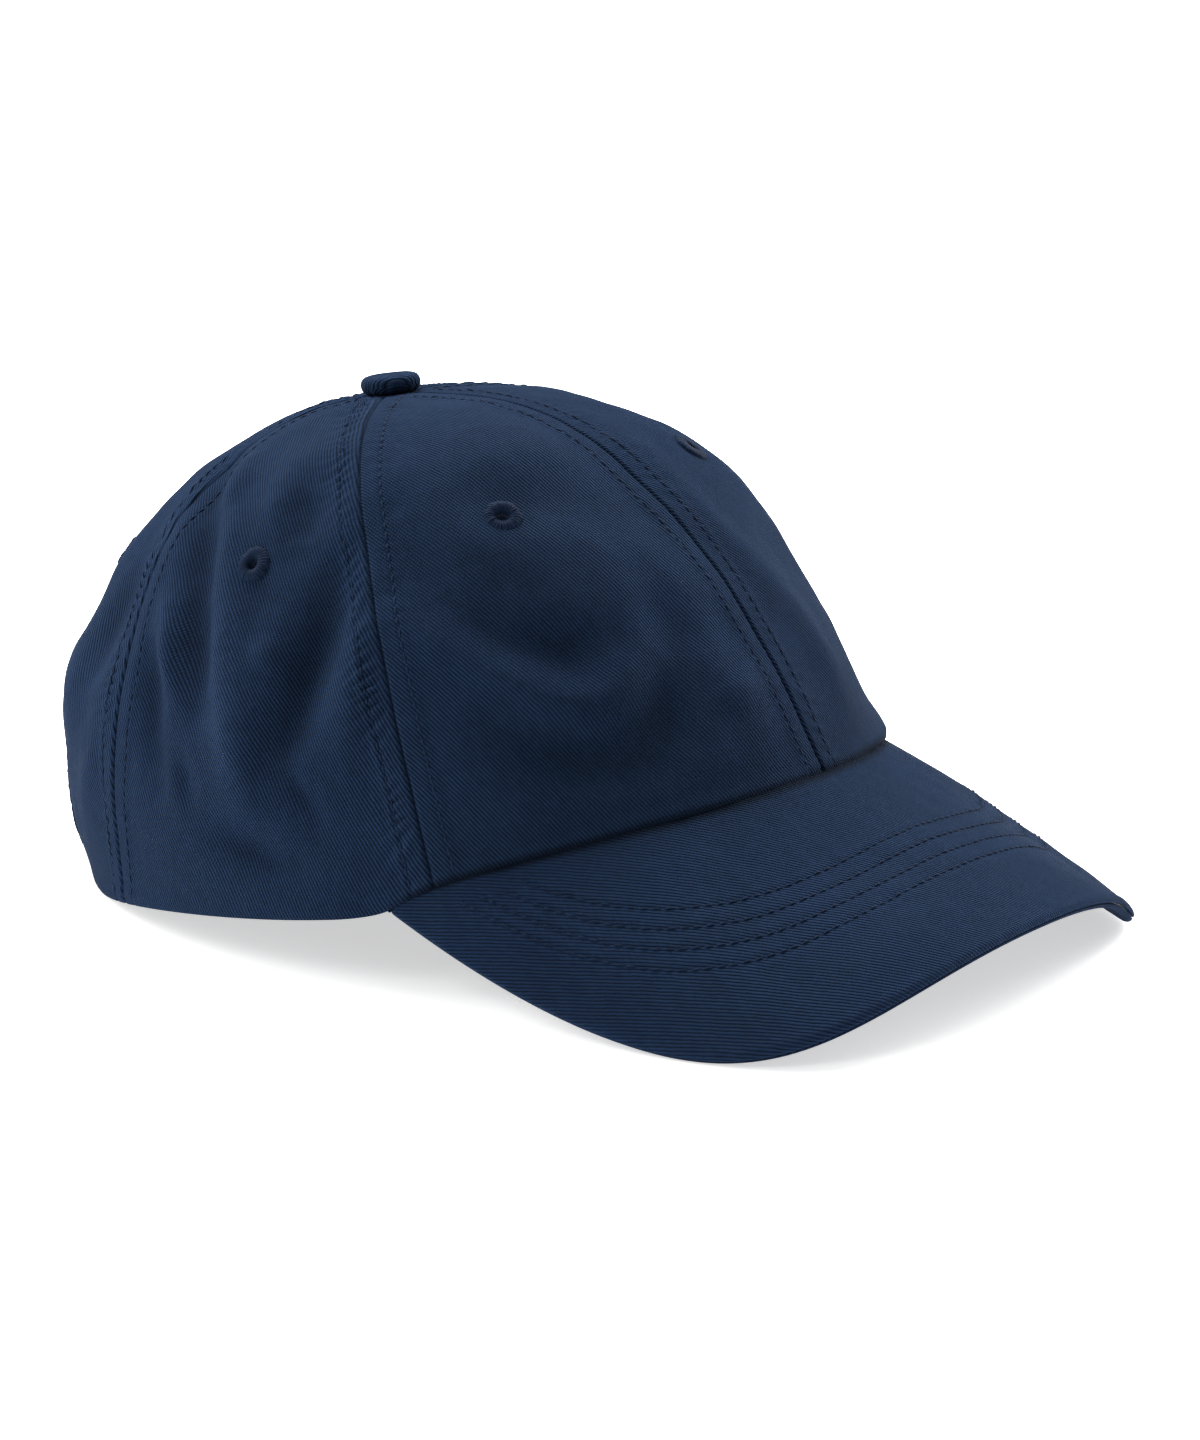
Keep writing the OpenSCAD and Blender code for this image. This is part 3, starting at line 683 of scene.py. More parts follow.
def metal_mat(name, colour, dark, rough=0.34):
    """old brass: brushed, dulled in the low places"""
    g = G(name)
    o = g.obj()
    n1 = g.noise(o, 180.0, 4.0, 0.6)
    n2 = g.noise(g.vmath("MULTIPLY", o, (1.0, 1.0, 22.0)), 260.0, 3.0, 0.6)
    n3 = g.noise(o, 900.0, 3.0, 0.65)
    f = g.rng(n1, 0.25, 0.75, 0.25, 1.0, smooth=True)
    f = g.math("MULTIPLY_ADD", g.math("SUBTRACT", n3, 0.5), 0.3, f, clamp=True)
    edge = g.n("ShaderNodeBevel", samples=4)            # edges are softened, as on pressed sheet
    edge.inputs["Radius"].default_value = 0.00035
    col = g.mix(f, lin(dark), lin(colour))
    g.set(Base_Color=col, Metallic=1.0, Roughness=g.math("ADD", rough, g.math("MULTIPLY", g.math("SUBTRACT", 1.0, f), 0.24)),
          Normal=g.bump(g.math("ADD", n2, g.math("MULTIPLY", n3, 0.4)), 0.00003, normal=edge.outputs[0]))
    return g.m


def plastic_mat(name, colour):
    g = G(name)
    o = g.obj()
    n1, n2 = g.noise(o, 30.0, 3.0, 0.55), g.noise(o, 900.0, 3.0, 0.6)
    c = g.n("ShaderNodeRGB")
    c.outputs[0].default_value = lin(colour)
    k = g.math("ADD", 0.94, g.math("MULTIPLY", g.math("SUBTRACT", n1, 0.5), 0.12))
    g.set(Base_Color=g.scale_col(c.outputs[0], k), Roughness=g.math("MULTIPLY_ADD", n2, 0.16, 0.42),
          Normal=g.bump(n2, 0.00005), Specular_IOR_Level=0.4)
    return g.m


NAVY = (18, 31, 51)
M_PANEL = twill("twill_crown", NAVY, 64.0)
M_PEAK = twill("twill_peak", NAVY, 62.0, seed=13.0, wobble=0.5)
# the underside of the peak: the same twill made darker, a painted shade for the face turned to the floor
M_UNDER = twill("twill_peak_under", tuple(np.array(NAVY) * 0.92), 62.0, seed=31.0)
M_STRAP = twill("twill_strap", NAVY, 64.0, seed=57.0, attr=False)
M_BUTTON = twill("twill_button", tuple(np.array(NAVY) * 0.97), 40.0, seed=71.0, pitch=0.74)
M_TAPE = plain_cloth("tape_cotton", (19, 32, 52), 0.9, ribbed=2.4)
M_BIND = twill("twill_binding", tuple(np.array(NAVY) * 0.94), 45.0, seed=83.0, pitch=0.74, attr=False)
M_BAND = plain_cloth("band_cotton", (18, 31, 50), 0.8)
M_THREAD = thread_mat("thread_navy", (19, 33, 54))
M_EYE = thread_mat("thread_eyelet", (19, 32, 53))
M_BRASS = metal_mat("brass_old", (158, 130, 82), (118, 96, 60), 0.30)
M_STEEL = metal_mat("rivet_steel", (170, 168, 162), (96, 94, 90), 0.3)
M_BOARD = plastic_mat("board_plastic", (214, 214, 206))


# ---------------------------------------------------------------- crown panels
def cap_surface(lam, p, lift=0.0, with_fine=True):
    """placed points of the cloth's outer face, with the outward direction"""
    n = base_n(lam, p)
    big, fine = disp(lam, p)
    h = big + (fine if with_fine else 0.0) + lift
    v = place(base(lam, p) + n * h[..., None])
    v[..., 2] -= hem_drop(lam, p, v[..., 2])
    return v, tipped(n), big, fine


def hem_drop(lam, p, z):
    """the soft edge hangs a little lower round the sides"""
    a = np.abs(wrap(p))
    d = 1.35 * sstep(147.0, 134.0, a) * sstep(58.0, 78.0, a) * np.exp(-(lam * ltot(p) / 7.0) ** 2)
    return np.clip(np.minimum(d, z - 0.15), 0, None)


def arch_s_vis(a, w): return (ARCH_H + w) / CROWN_H * np.sin(a * D)


def lam_of_s(s, p):
    """share of the way up, by length, for a height share s at angle p"""
    s, p = np.broadcast_arrays(np.asarray(s, float), np.asarray(p, float))
    out = np.empty(s.shape)
    f = out.reshape(-1)
    for i, (a, b) in enumerate(zip(s.reshape(-1), p.reshape(-1))):
        j = int(round((wrap(b) + 180.0) / 0.5)) % len(PT)
        f[i] = np.interp(a, STAB[:, j], UT)
    return out


def near_seam(width):
    """angle steps that are close together beside a seam"""
    a = np.concatenate([np.arange(0, 5.0, 0.26), np.arange(5.0, 10.0, 0.42), np.arange(10.0, width / 2, 0.86)])
    return a


def columns(a, b):
    w = b - a
    h = near_seam(w)
    left = a + h
    right = b - h[::-1]
    gap = right[0] - left[-1]
    if gap > 1.2:
        left = np.append(left, (left[-1] + right[0]) / 2)
    elif gap < 0.35:
        right = right[1:]
    return np.concatenate([left, right])


ROWS = 184
EYES = {"front_right": (0.764, -35.0), "front_left": (0.80, 27.0), "side_right": (0.711, -89.0), "side_left": (0.711, 90.0),
        "rear_right": (0.69, -150.0), "rear_left": (0.69, 150.0)}
EYELET_D = 8.6
W_ARCH = 1.0          # the panel runs on under the binding to here


def panel_piece(tag, a, b):
    cols = columns(a, b)
    rear = "rear" in tag
    lam0 = np.zeros(len(cols))
    if rear:
        A_ = ARCH_HALF + W_ARCH / 80 * 180 / math.pi
        d = 180 - np.abs(cols)
        extra = 180 - A_ * np.cos(np.arange(0.0, 42.0, 1.5) * D)       # close together where the arch is steep
        extra = extra if a > 0 else -extra
        cols = np.unique(np.round(np.concatenate([cols, extra]), 4))
        keepc = np.concatenate([[True], np.diff(cols) > 0.035])
        cols = cols[keepc]
        d = np.clip((180 - np.abs(cols)) / A_, 0, 1)
        s0 = np.where(d < 1, arch_s_vis(np.degrees(np.arccos(d)), W_ARCH), 0.0)
        lam0 = lam_of_s(s0, cols)
    t = np.linspace(0, 1, ROWS + 1)
    lam = lam0[None, :] + (1 - lam0[None, :]) * t[:, None]
    P = np.broadcast_to(cols[None, :], lam.shape)
    out, n, big, fine = cap_surface(lam, P)
    # inside face follows the folds but not the puckers
    inn = place(base(lam, P) + base_n(lam, P) * (big - CLOTH)[..., None])
    inn[..., 2] -= hem_drop(lam, P, inn[..., 2])
    r = rloc(lam, P)
    mid = (a + b) / 2
    L = lam * ltot(P)
    uv = np.stack([wrap(P - mid) * D * r, L], -1)
    # lighter on worn seam ridges and pucker crests, plus a painted highlight on the crests of the big folds
    wear_and_highlight = np.clip(0.8 * sstep(0.42, 0.95, fine) + 0.5 * sstep(0.9, 3.4, big), 0, 1)
    # painted shade in seam and stitch grooves and pucker hollows
    dark = np.clip(sstep(-0.06, -0.55, fine), 0, 1)
    # painted shade in the hollows of the big folds
    dark = np.maximum(dark, 0.5 * sstep(-0.4, -3.0, big))
    # painted shadow along the crown's lower edge above the peak, where the two meet
    dark = np.maximum(dark, 1.4 * sstep(1.8, 0.3, lam * ltot(P)) * sstep(70.0, 64.0, np.abs(P)))
    s_e, p_e = EYES[tag]
    le = float(lam_of_s(s_e, p_e))
    c = place(base(np.array(le), np.array(p_e)))
    q = (out[:-1, :-1] + out[1:, 1:] + out[1:, :-1] + out[:-1, 1:]) / 4
    keep = np.linalg.norm(q - c, axis=-1) > 2.4
    V, F, used = shell(out, inn, keep)
    uv2 = np.concatenate([uv.reshape(-1, 2)] * 2)[used]
    w2 = np.concatenate([wear_and_highlight.ravel(), np.zeros(wear_and_highlight.size)])[used]
    d2 = np.concatenate([dark.ravel(), np.zeros(wear_and_highlight.size)])[used]
    o = make("cloth_" + tag, V, F, uv2, M_PANEL, {"wear_and_highlight": w2, "dark": d2})
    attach(o, "cap")
    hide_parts("panel_" + tag)
    return o, cols, lam0


PANELS = {"front_right": (-SEAM_F, 0.0), "front_left": (0.0, SEAM_F), "side_right": (-SEAM_R, -SEAM_F),
          "side_left": (SEAM_F, SEAM_R), "rear_right": (-180.0, -SEAM_R), "rear_left": (SEAM_R, 180.0)}
for tag, (a, b) in PANELS.items():
    panel_piece(tag, a, b)


# rows of stitching 5 mm each side of every seam
def seam_line(q, side, lam_a, lam_b):
    lam = np.linspace(lam_a, lam_b, 260)
    p = np.full_like(lam, q)
    r = rloc(lam, p)
    pp = q + side * ROW_D / (r * D)
    pt, n, _, _ = cap_surface(lam, pp)
    return pt, n


for tag, (a, b) in PANELS.items():
    lines = []
    for q, side in ((a, 1.0), (b, -1.0)):
        lo = 0.012
        if abs(abs(q) - 180) < 1:
            lo = float(lam_of_s((ARCH_H + BIND_W + 1) / CROWN_H, 180.0))
        lines.append(seam_line(q, side, lo, 0.945))
    o = stitch_piece("stitches_" + tag, lines, M_THREAD, seed=sum(map(ord, tag)))
    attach(o, "cap")


# ---------------------------------------------------------------- eyelets: a hole bound with close radial stitches
def eyelet_piece(tag):
    s_e, p_e = EYES[tag]
    le = lam_of_s(s_e, p_e)
    c0, n0, big, _ = cap_surface(np.array([float(le)]), np.array([p_e]))
    e = 0.02
    c1 = place(base(np.array([float(le) + e]), np.array([p_e])))[0]
    c2 = place(base(np.array([float(le) - e]), np.array([p_e])))[0]
    c, n = c0[0], unit(n0[0])
    up = unit(c1 - c2)
    up = unit(up - n * np.dot(up, n))
    right = np.cross(up, n)
    r = np.random.default_rng(sum(map(ord, tag)) + 5)
    flat = 0.5 if tag == "front_left" else 1.0      # this one has been pressed flat
    wraps = 30
    k = wraps * 8
    th = np.arange(k) / k * 2 * math.pi
    prof = np.array([(1.38, -1.45), (1.26, -0.75), (1.28, -0.10), (1.46, 0.38), (1.86, 0.78), (2.42, 1.02), (3.0, 1.02), (3.52, 0.82),
                     (3.95, 0.48), (4.22, 0.06), (4.30, -0.40), (4.1, -1.30), (3.3, -1.75), (2.3, -1.78)])
    # how much each point of the profile follows the thread
    wgt = np.array([0.2, 0.6, 0.9, 1.0, 1.0, 1.0, 1.0, 1.0, 1.0, 0.9, 0.3, 0.2, 0.8, 0.8])
    num = np.floor(th / (2 * math.pi) * wraps).astype(int)
    frac = th / (2 * math.pi) * wraps - num
    bulge = np.sin(np.pi * frac) ** 0.7
    jit = r.normal(0, 1, wraps)[num]
    jit2 = r.normal(0, 1, wraps)[num]
    V = np.empty((len(prof), k, 3))
    for i, (pr, pz) in enumerate(prof):
        rr = pr + 0.10 * wgt[i] * (bulge - 0.6) * (1 if pr > 2.2 else -0.6) + (0.10 * jit * sstep(3.4, 4.3, pr))
        zz = pz + (0.20 * wgt[i] * (bulge - 0.62) + 0.04 * jit2 * wgt[i]) * (1 if pz > -0.6 else -1)
        # each thread lies a little slanted
        tt = th + 0.035 * (pr - 1.5) + 0.004 * jit
        zz = zz * flat if pz > 0 else zz
        V[i] = c + (right * (rr * np.cos(tt))[:, None] + up * (rr * np.sin(tt))[:, None]) + n * zz[:, None]
    m = len(prof)
    i, j = np.meshgrid(np.arange(m), np.arange(k), indexing="ij")
    i1, j1 = (i + 1) % m, (j + 1) % k
    F = np.stack([i * k + j, i * k + j1, i1 * k + j1, i1 * k + j], -1).reshape(-1, 4)
    uv = np.stack([np.broadcast_to(th * 4, (m, k)), np.broadcast_to(np.arange(m)[:, None] * 0.5, (m, k))], -1).reshape(-1, 2)
    o = make("eyelet_thread_" + tag, V.reshape(-1, 3), F, uv, M_EYE, sharp=75)
    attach(o, "cap")
    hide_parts("eyelet_" + tag)


for tag in PANELS:
    eyelet_piece(tag)


# ---------------------------------------------------------------- covered button
def button_piece():
    R, H = 6.75, 5.5
    k = 132
    th = np.arange(k) / k * 2 * math.pi
    prof = [(0.0, 0.25), (3.0, 0.2), (5.0, 0.22), (5.75, 0.42), (6.3, 0.85), (6.72, 1.45), (6.9, 2.1), (6.9, 2.8), (6.72, 3.45),
            (6.35, 3.98), (5.75, 4.36), (4.9, 4.58), (3.6, 4.72), (2.4, 4.80), (1.2, 4.84), (0.0, 4.85)]
    rr = np.random.default_rng(77)
    ph = rr.uniform(0, 6.28, 4)
    V = [np.array([0, 0, prof[0][1]])]
    U = [(0.0, 0.0)]
    for r, z in prof[1:-1]:
        low = 1 - sstep(0.8, 3.6, np.array(z))
        pleat = 0.16 * float(low) * (np.sin(17 * th + ph[0]) + 0.6 * np.sin(11 * th + ph[1]))
        soft = 0.05 * np.sin(3 * th + ph[2]) + 0.04 * np.sin(5 * th + ph[3])
        k2 = 1.0 if r > 3 else r / 3.0
        x, y = (r + (pleat + soft) * k2) * np.cos(th), (r + (pleat + soft) * k2) * np.sin(th)
        V.append(np.stack([x, y, np.full(k, z) + 0.04 * k2 * np.sin(2 * th + ph[1])], -1))
        s = r if z > 2.2 else 6.75 + (2.2 - z) * 1.2
        U += list(zip((s * np.cos(th)).tolist(), (s * np.sin(th)).tolist()))
    V.append(np.array([0, 0, prof[-1][1]]))
    U.append((0.0, 0.0))
    pts = np.concatenate([v.reshape(-1, 3) for v in V])
    n = len(prof) - 2
    F, T = [], []
    for i in range(n - 1):
        for j in range(k):
            j1 = (j + 1) % k
            F.append((1 + i * k + j, 1 + i * k + j1, 1 + (i + 1) * k + j1, 1 + (i + 1) * k + j))
    last = len(pts) - 1
    for j in range(k):
        j1 = (j + 1) % k
        T.append((0, 1 + j1, 1 + j))
        T.append((last, 1 + (n - 1) * k + j, 1 + (n - 1) * k + j1))
    pts = pts + np.array([0, TOP_BACK, CROWN_H])
    z = pts[:, 2] - CROWN_H
    rad = np.hypot(pts[:, 0], pts[:, 1] - TOP_BACK)
    wear_and_highlight = 0.75 * sstep(3.2, 4.6, z) * sstep(4.2, 5.8, rad)
    # painted shade round the foot of the button, where it sits on the crown
    dark = 1 - sstep(0.4, 1.5, z)
    o = make("button_cloth", place(pts) + np.array([0.30, -0.42, -0.10]), F, np.array(U), M_BUTTON, {"wear_and_highlight": wear_and_highlight, "dark": dark}, tris=T, sharp=70)
    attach(o, "cap")
    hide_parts("top_button")


button_piece()


# ---------------------------------------------------------------- peak
def rim_table():
    t = np.linspace(-T_END * 1.0, T_END * 1.0, 1601)
    return t, rim_flat(t)


RT, RF = rim_table()


def rim_near(fu, fq):
    """distance in from the rim of the flat pattern, and the place along the rim"""
    f = np.stack([fu.ravel(), fq.ravel()], -1)
    d = np.empty(len(f))
    k = np.empty(len(f), int)
    for i in range(0, len(f), 3000):
        dd = ((f[i:i + 3000, None, :] - RF[None]) ** 2).sum(-1)
        k[i:i + 3000] = dd.argmin(1)
        d[i:i + 3000] = np.sqrt(dd.min(1))
    return d.reshape(fu.shape), RT[k].reshape(fu.shape)


def inset(t, k):
    g = np.exp(-(t / 32.0) ** 2)
    return 18 + 5 * g + k * (4.4 + 0.7 * g)


def row_end(k): return (0.88 - 0.034 * k) * T_END


# the far corner of the peak is bent down a little
_rp = place(bend(RF[:, 0], RF[:, 1]))
_i0 = int(np.argmin(np.hypot(_rp[:, 0] - 57.0, _rp[:, 1] + 112.0)))
F0 = RF[_i0]


def pk_place(v, fu, fq):
    out = place(v)
    out[..., 2] -= 4.2 * np.exp(-(np.hypot(fu - F0[0], fq - F0[1]) / 25.0) ** 2)
    return out


def pk_raw(k, w, out, d):
    """like peak_raw, but the corners run right up to the crown's edge"""
    kk = k * (1 + 0.046 * np.abs(k) ** 24)
    au, aq = flat_of(kk * PEAK_END * 0.955)
    t = k * T_END * (0.985 + 0.010 * np.abs(k) ** 24)
    n = rim_out(t)
    o = rim_flat(t) - RND * n
    wp = np.clip(w, 0, None)
    # the part behind the crown's edge is tucked in under it
    tuck = np.clip(-w, 0, None) / 0.055 * 2.6
    fu = au + (o[..., 0] - au) * wp + out * n[..., 0] - tuck * np.sin(kk * PEAK_END * D)
    fq = aq + (o[..., 1] - aq) * wp + out * n[..., 1] - tuck * np.cos(kk * PEAK_END * D)
    return bend(fu, fq) - np.asarray(d)[..., None] * bend_n(fu), fu, fq


def peak_disp(fu, fq, side):
    d, t = rim_near(fu, fq)
    v = np.stack([fu, fq, np.full_like(fu, 30.0 * side)], -1)
    edge = sstep(0.0, 10.0, d)
    v0 = np.stack([fu, fq, np.full_like(fu, 30.0)], -1)
    big = (0.10 + 0.30 * wnoise(W_PKL, v0) + 0.07 * wnoise(W_PK, v0)) * edge
    fine = np.zeros_like(fu)
    prev = None
    for k in range(4):
        x = d - inset(t, k)
        on = 1 - sstep(row_end(k) - 1.5, row_end(k) + 0.6, np.abs(t))
        fine += (-0.10 * np.exp(-(x / 0.55) ** 2) + 0.05 * np.exp(-((np.abs(x) - 1.5) / 0.9) ** 2)) * on
        # cloth gathers a little between stitches
        fine += 0.05 * np.exp(-(x / 1.6) ** 2) * np.sin(2 * math.pi * t * 1.7 / 2.2 + k) * on
    return big, fine, d, t


def peak_cols(n, t_dense=True):
    return np.linspace(-1, 1, n)


def peak_cloth(name, node, turn, mat):
    nk, nw = 300, 124
    k = peak_cols(nk)
    w = np.concatenate([[-0.055, -0.03], np.linspace(0, 1, nw)])
    W, K = np.meshgrid(w, k, indexing="ij")
    _, fu, fq = pk_raw(K, W, np.zeros_like(K), np.zeros_like(K))
    big, fine, d, t = peak_disp(fu, fq, 1)
    if turn < 0:
        _, fine, _, _ = peak_disp(fu, fq, -1)
    r_o, r_i = RND, RND - PCLOTH

    def layer(r, b, f):
        h = b * (1 if turn > 0 else 1) + f * turn
        return pk_place(*pk_raw(K, W, np.zeros_like(K), RND - turn * r - h))

    outer = layer(r_o, big, fine)
    inner = layer(r_i, big, np.zeros_like(fine))
    arcs = [8, 18, 30, 42, 54, 66, 76, 84]
    eo, ei = [], []
    for a in arcs:
        sa, ca = math.sin(a * D), math.cos(a * D)
        seam = -0.16 * sstep(66, 84, np.array(float(a)))     # fine groove where the two cloths meet
        one = np.ones(nk)
        eo.append(pk_place(*pk_raw(k, one, one * (r_o + seam) * sa, RND - turn * r_o * ca * one)))
        ei.append(pk_place(*pk_raw(k, one, one * r_i * sa, RND - turn * r_i * ca * one)))
    O = np.concatenate([outer, np.stack(eo)])
    I = np.concatenate([inner, np.stack(ei)])
    ne = len(arcs)
    uv = np.stack([fu, -fq], -1)
    rim = rim_out(k * T_END * 0.985)
    uve = np.stack([uv[-1] + np.stack([rim[:, 0], -rim[:, 1]], -1) * r_o * a * D for a in arcs])
    UV = np.concatenate([uv, uve])
    wear_and_highlight = np.concatenate([np.clip(0.3 * sstep(0.02, 0.08, fine) + 0.0 * d, 0, 1), np.full((ne, nk), 0.35)])
    wear_and_highlight[:-ne] = np.maximum(wear_and_highlight[:-ne], 0.35 * np.exp(-(d / 2.2) ** 2))
    # painted shade in the stitch grooves
    dark = np.concatenate([np.clip(sstep(-0.04, -0.14, fine), 0, 1) * 0.1, np.zeros((ne, nk))])
    dark[:-ne] = np.maximum(dark[:-ne], 1.5 * sstep(3.0, 0.3, W * 60.0))     # painted shadow line along the join with the crown
    # painted shade along the groove where the top and under cloths meet at the rim
    dark[-1] = 0.6
    V, F, used = shell(O, I)
    o = make(name, V, F, np.concatenate([UV.reshape(-1, 2)] * 2)[used], mat,
             {"wear_and_highlight": np.concatenate([wear_and_highlight.ravel(), np.zeros(wear_and_highlight.size)])[used],
              "dark": np.concatenate([dark.ravel(), np.zeros(dark.size)])[used]})
    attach(o, "cap")
    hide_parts(node)


peak_cloth("peak_cloth_top", "peak_cloth_upper", 1, M_PEAK)
peak_cloth("peak_cloth_below", "peak_cloth_under", -1, M_UNDER)


def board_piece():
    K, W = np.meshgrid(np.linspace(-0.985, 0.985, 170), np.linspace(0.025, 1.0, 70), indexing="xy")
    _, fu, fq = pk_raw(K, W, np.zeros_like(K), np.zeros_like(K))
    big = peak_disp(fu, fq, 1)[0]
    soft = 0.25 * (1 - sstep(0.0, 1.2, (1 - W) * 60.0))
    A_ = pk_place(*pk_raw(K, W, np.zeros_like(K), RND - BOARD / 2 - big + soft))
    B_ = pk_place(*pk_raw(K, W, np.zeros_like(K), RND + BOARD / 2 - big - soft))
    V, F, used = shell(A_, B_)
    uv = np.stack([fu, -fq], -1).reshape(-1, 2)
    o = make("board_sheet", V, F, np.concatenate([uv, uv])[used], M_BOARD)
    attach(o, "cap")
    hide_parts("peak_board")


board_piece()

# four rows of stitching, above and below
lines = []
lines_u = []
for k in range(4):
    t = np.linspace(-row_end(k), row_end(k), 900)
    n2 = rim_out(t)
    f = rim_flat(t) - inset(t, k)[:, None] * n2
    big, fine, _, _ = peak_disp(f[:, 0], f[:, 1], 1)
    nn = bend_n(f[:, 0])
    lines.append((pk_place(bend(f[:, 0], f[:, 1]) + nn * (big + fine * 0.9 + 0.02)[:, None], f[:, 0], f[:, 1]), tipped(nn)))
    lines_u.append((pk_place(bend(f[:, 0], f[:, 1]) - nn * (2 * RND - big + fine * 0.9)[:, None], f[:, 0], f[:, 1]), -tipped(nn)))
o = stitch_piece("stitches_peak_top", lines, M_THREAD, length=2.1, step=2.75, rad=0.25, lift=0.10, seed=91)
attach(o, "cap")
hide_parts("peak_stitching")
o = stitch_piece("stitches_peak_below", lines_u, M_THREAD, length=2.1, step=2.75, rad=0.25, lift=0.10, seed=92)
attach(o, "cap")


# ---------------------------------------------------------------- inside: seam tapes and sweatband
def tape_piece(tag, q):
    s0 = (BAND_H - 6) / CROWN_H if q != 180 else (ARCH_H + BIND_W + 1.5) / CROWN_H
    l0 = float(lam_of_s(s0, q))
    lam = np.linspace(l0, 0.925, 90)
    x = np.concatenate([[-6.0, -5.7, -5.2, -4.6, -4.1], np.linspace(-3.4, 3.4, 9), [4.1, 4.6, 5.2, 5.7, 6.0]])
    L2, X = np.meshgrid(lam, x, indexing="ij")
    r = np.maximum(rloc(L2, np.full_like(L2, q)), 6.5)
    P = q + X / (r * D)
    n = base_n(L2, P)
    big, _ = disp(L2, P)
    ax = np.abs(X)
    rib = 0.34 * np.exp(-(X / 2.4) ** 2) - 0.22 * np.exp(-((ax - 4.6) / 0.35) ** 2)
    edge = np.where(ax > 5.5, -0.15, 0.0)
    gath = 0.06 * np.sin(L2 * LTOT[360] / 2.6 * 2 * math.pi + X * 0.4)
    out = place(base(L2, P) + n * (big - CLOTH - 0.12)[..., None])
    inn = place(base(L2, P) + n * (big - CLOTH - 0.12 - 0.75 - rib - edge - gath)[..., None])
    V, F, used = shell(out, inn)
    uv = np.stack([X, L2 * ltot(P)], -1).reshape(-1, 2)
    o = make("tape_" + tag, V, F, np.concatenate([uv, uv])[used], M_TAPE)
    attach(o, "cap")
    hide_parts("seam_tape_" + tag)
    res = []
    for sx in (-4.6, 4.6):
        lam = np.linspace(l0 + 0.01, 0.915, 240)
        r = np.maximum(rloc(lam, np.full_like(lam, q)), 6.5)
        p = q + sx / (r * D)
        n = base_n(lam, p)
        big, _ = disp(lam, p)
        res.append((place(base(lam, p) + n * (big - CLOTH - 0.12 - 0.62)[..., None]), -tipped(n)))
    return res


inside_lines = []
for tag, q in (("front", 0.0), ("front_right", -SEAM_F), ("front_left", SEAM_F), ("rear_right", -SEAM_R), ("rear_left", SEAM_R), ("rear", 180.0)):
    inside_lines += tape_piece(tag, q)


CHANNEL = 7.2


def band_gap(p): return 0.3 + CHANNEL * sstep(106, 128, np.abs(p))


def band_pt(h, p, d):
    """a place on the sweatband: height up the crown, angle, depth in from its outer face"""
    q = skew(h / ltot(p), p)
    s = s_at_height(q, h)
    n = unit(np.cross(crown(s, q + 0.7) - crown(s, q - 0.7), crown(s + 0.006, q) - crown(np.clip(s - 0.006, 0, 1), q)))
    big, _ = disp(h / ltot(p), p)
    return place(crown(s, q) + n * (big - CLOTH - band_gap(p) - d)[..., None]), tipped(n)


def sweatband_piece():
    k = 560
    p = np.linspace(-BAND_END, BAND_END, k)
    hs = np.concatenate([[0.9, 1.3, 2.0, 3.0, 4.2, 5.0, 5.6], np.linspace(7, 23.4, 16), [24.2, 24.9, 25.6, 26.6, 27.5, 28.0, 28.25]])
    H, P = np.meshgrid(hs, p, indexing="ij")
    # softly rippled, rolled at both edges
    roll = 1.55 * np.sqrt(np.clip(1 - ((H - 14.5) / 14.2) ** 8, 0, 1))
    v = place(crown(s_at_height(P, H), P))
    rip = (0.22 * wnoise(W_MID, v) + 0.10 * wnoise(W_SM, v)) * sstep(0.0, 6.0, H) * (1 - sstep(24.0, 28.2, H))
    st = -0.32 * np.exp(-((H - 5.0) / 0.45) ** 2) - 0.30 * np.exp(-((H - 24.9) / 0.45) ** 2)
    pk = 0.10 * np.sin(P * 2.3) * np.exp(-((H - 24.9) / 2.0) ** 2) + 0.10 * np.sin(P * 2.1 + 1) * np.exp(-((H - 5.0) / 2.2) ** 2)
    inn, _ = band_pt(H, P, 0.25 + roll * 0.95 + rip + st + pk)
    out, _ = band_pt(H, P, 0.28 - 0.0 * roll)
    V, F, used = shell(out, inn)
    uv = np.stack([P * D * 88.0, H], -1).reshape(-1, 2)
    o = make("band_cloth", V, F, np.concatenate([uv, uv])[used], M_BAND)
    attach(o, "cap")
    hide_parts("sweatband")
    res = []
    pp = np.linspace(-BAND_END + 1, BAND_END - 1, 1400)
    for h in (5.0, 24.9):
        hh = np.full_like(pp, h)
        pt, n = band_pt(hh, pp, np.full_like(pp, 0.25 + 1.47 - 0.22))
        res.append((pt, -n))
    return res


inside_lines += sweatband_piece()
o = stitch_piece("stitches_inside", inside_lines, M_THREAD, length=2.0, step=2.8, rad=0.25, lift=0.12, seed=44, sides=6)
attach(o, "cap")


# ---------------------------------------------------------------- binding of the arch
def arch_point(a, w, d):
    p = 180 - (ARCH_HALF + w / 80 * 180 / math.pi) * np.cos(a * D)
    s = arch_s_vis(a, w)
    n = unit(np.cross(crown(s, p + 0.7) - crown(s, p - 0.7), crown(s + 0.006, p) - crown(np.clip(s - 0.006, 0, 1), p)))
    lam = lam_of_s(s, p)
    big, fine = disp(lam, wrap(p))
    keep = sstep(0.0, 5.0, np.asarray(lam) * 148.0)
    v = place(crown(s, p) + n * ((big + np.clip(fine, -0.1, 1.0) * 0.8) * keep + d)[..., None])
    v[..., 2] -= hem_drop(lam, p, v[..., 2])
    return v, tipped(n)


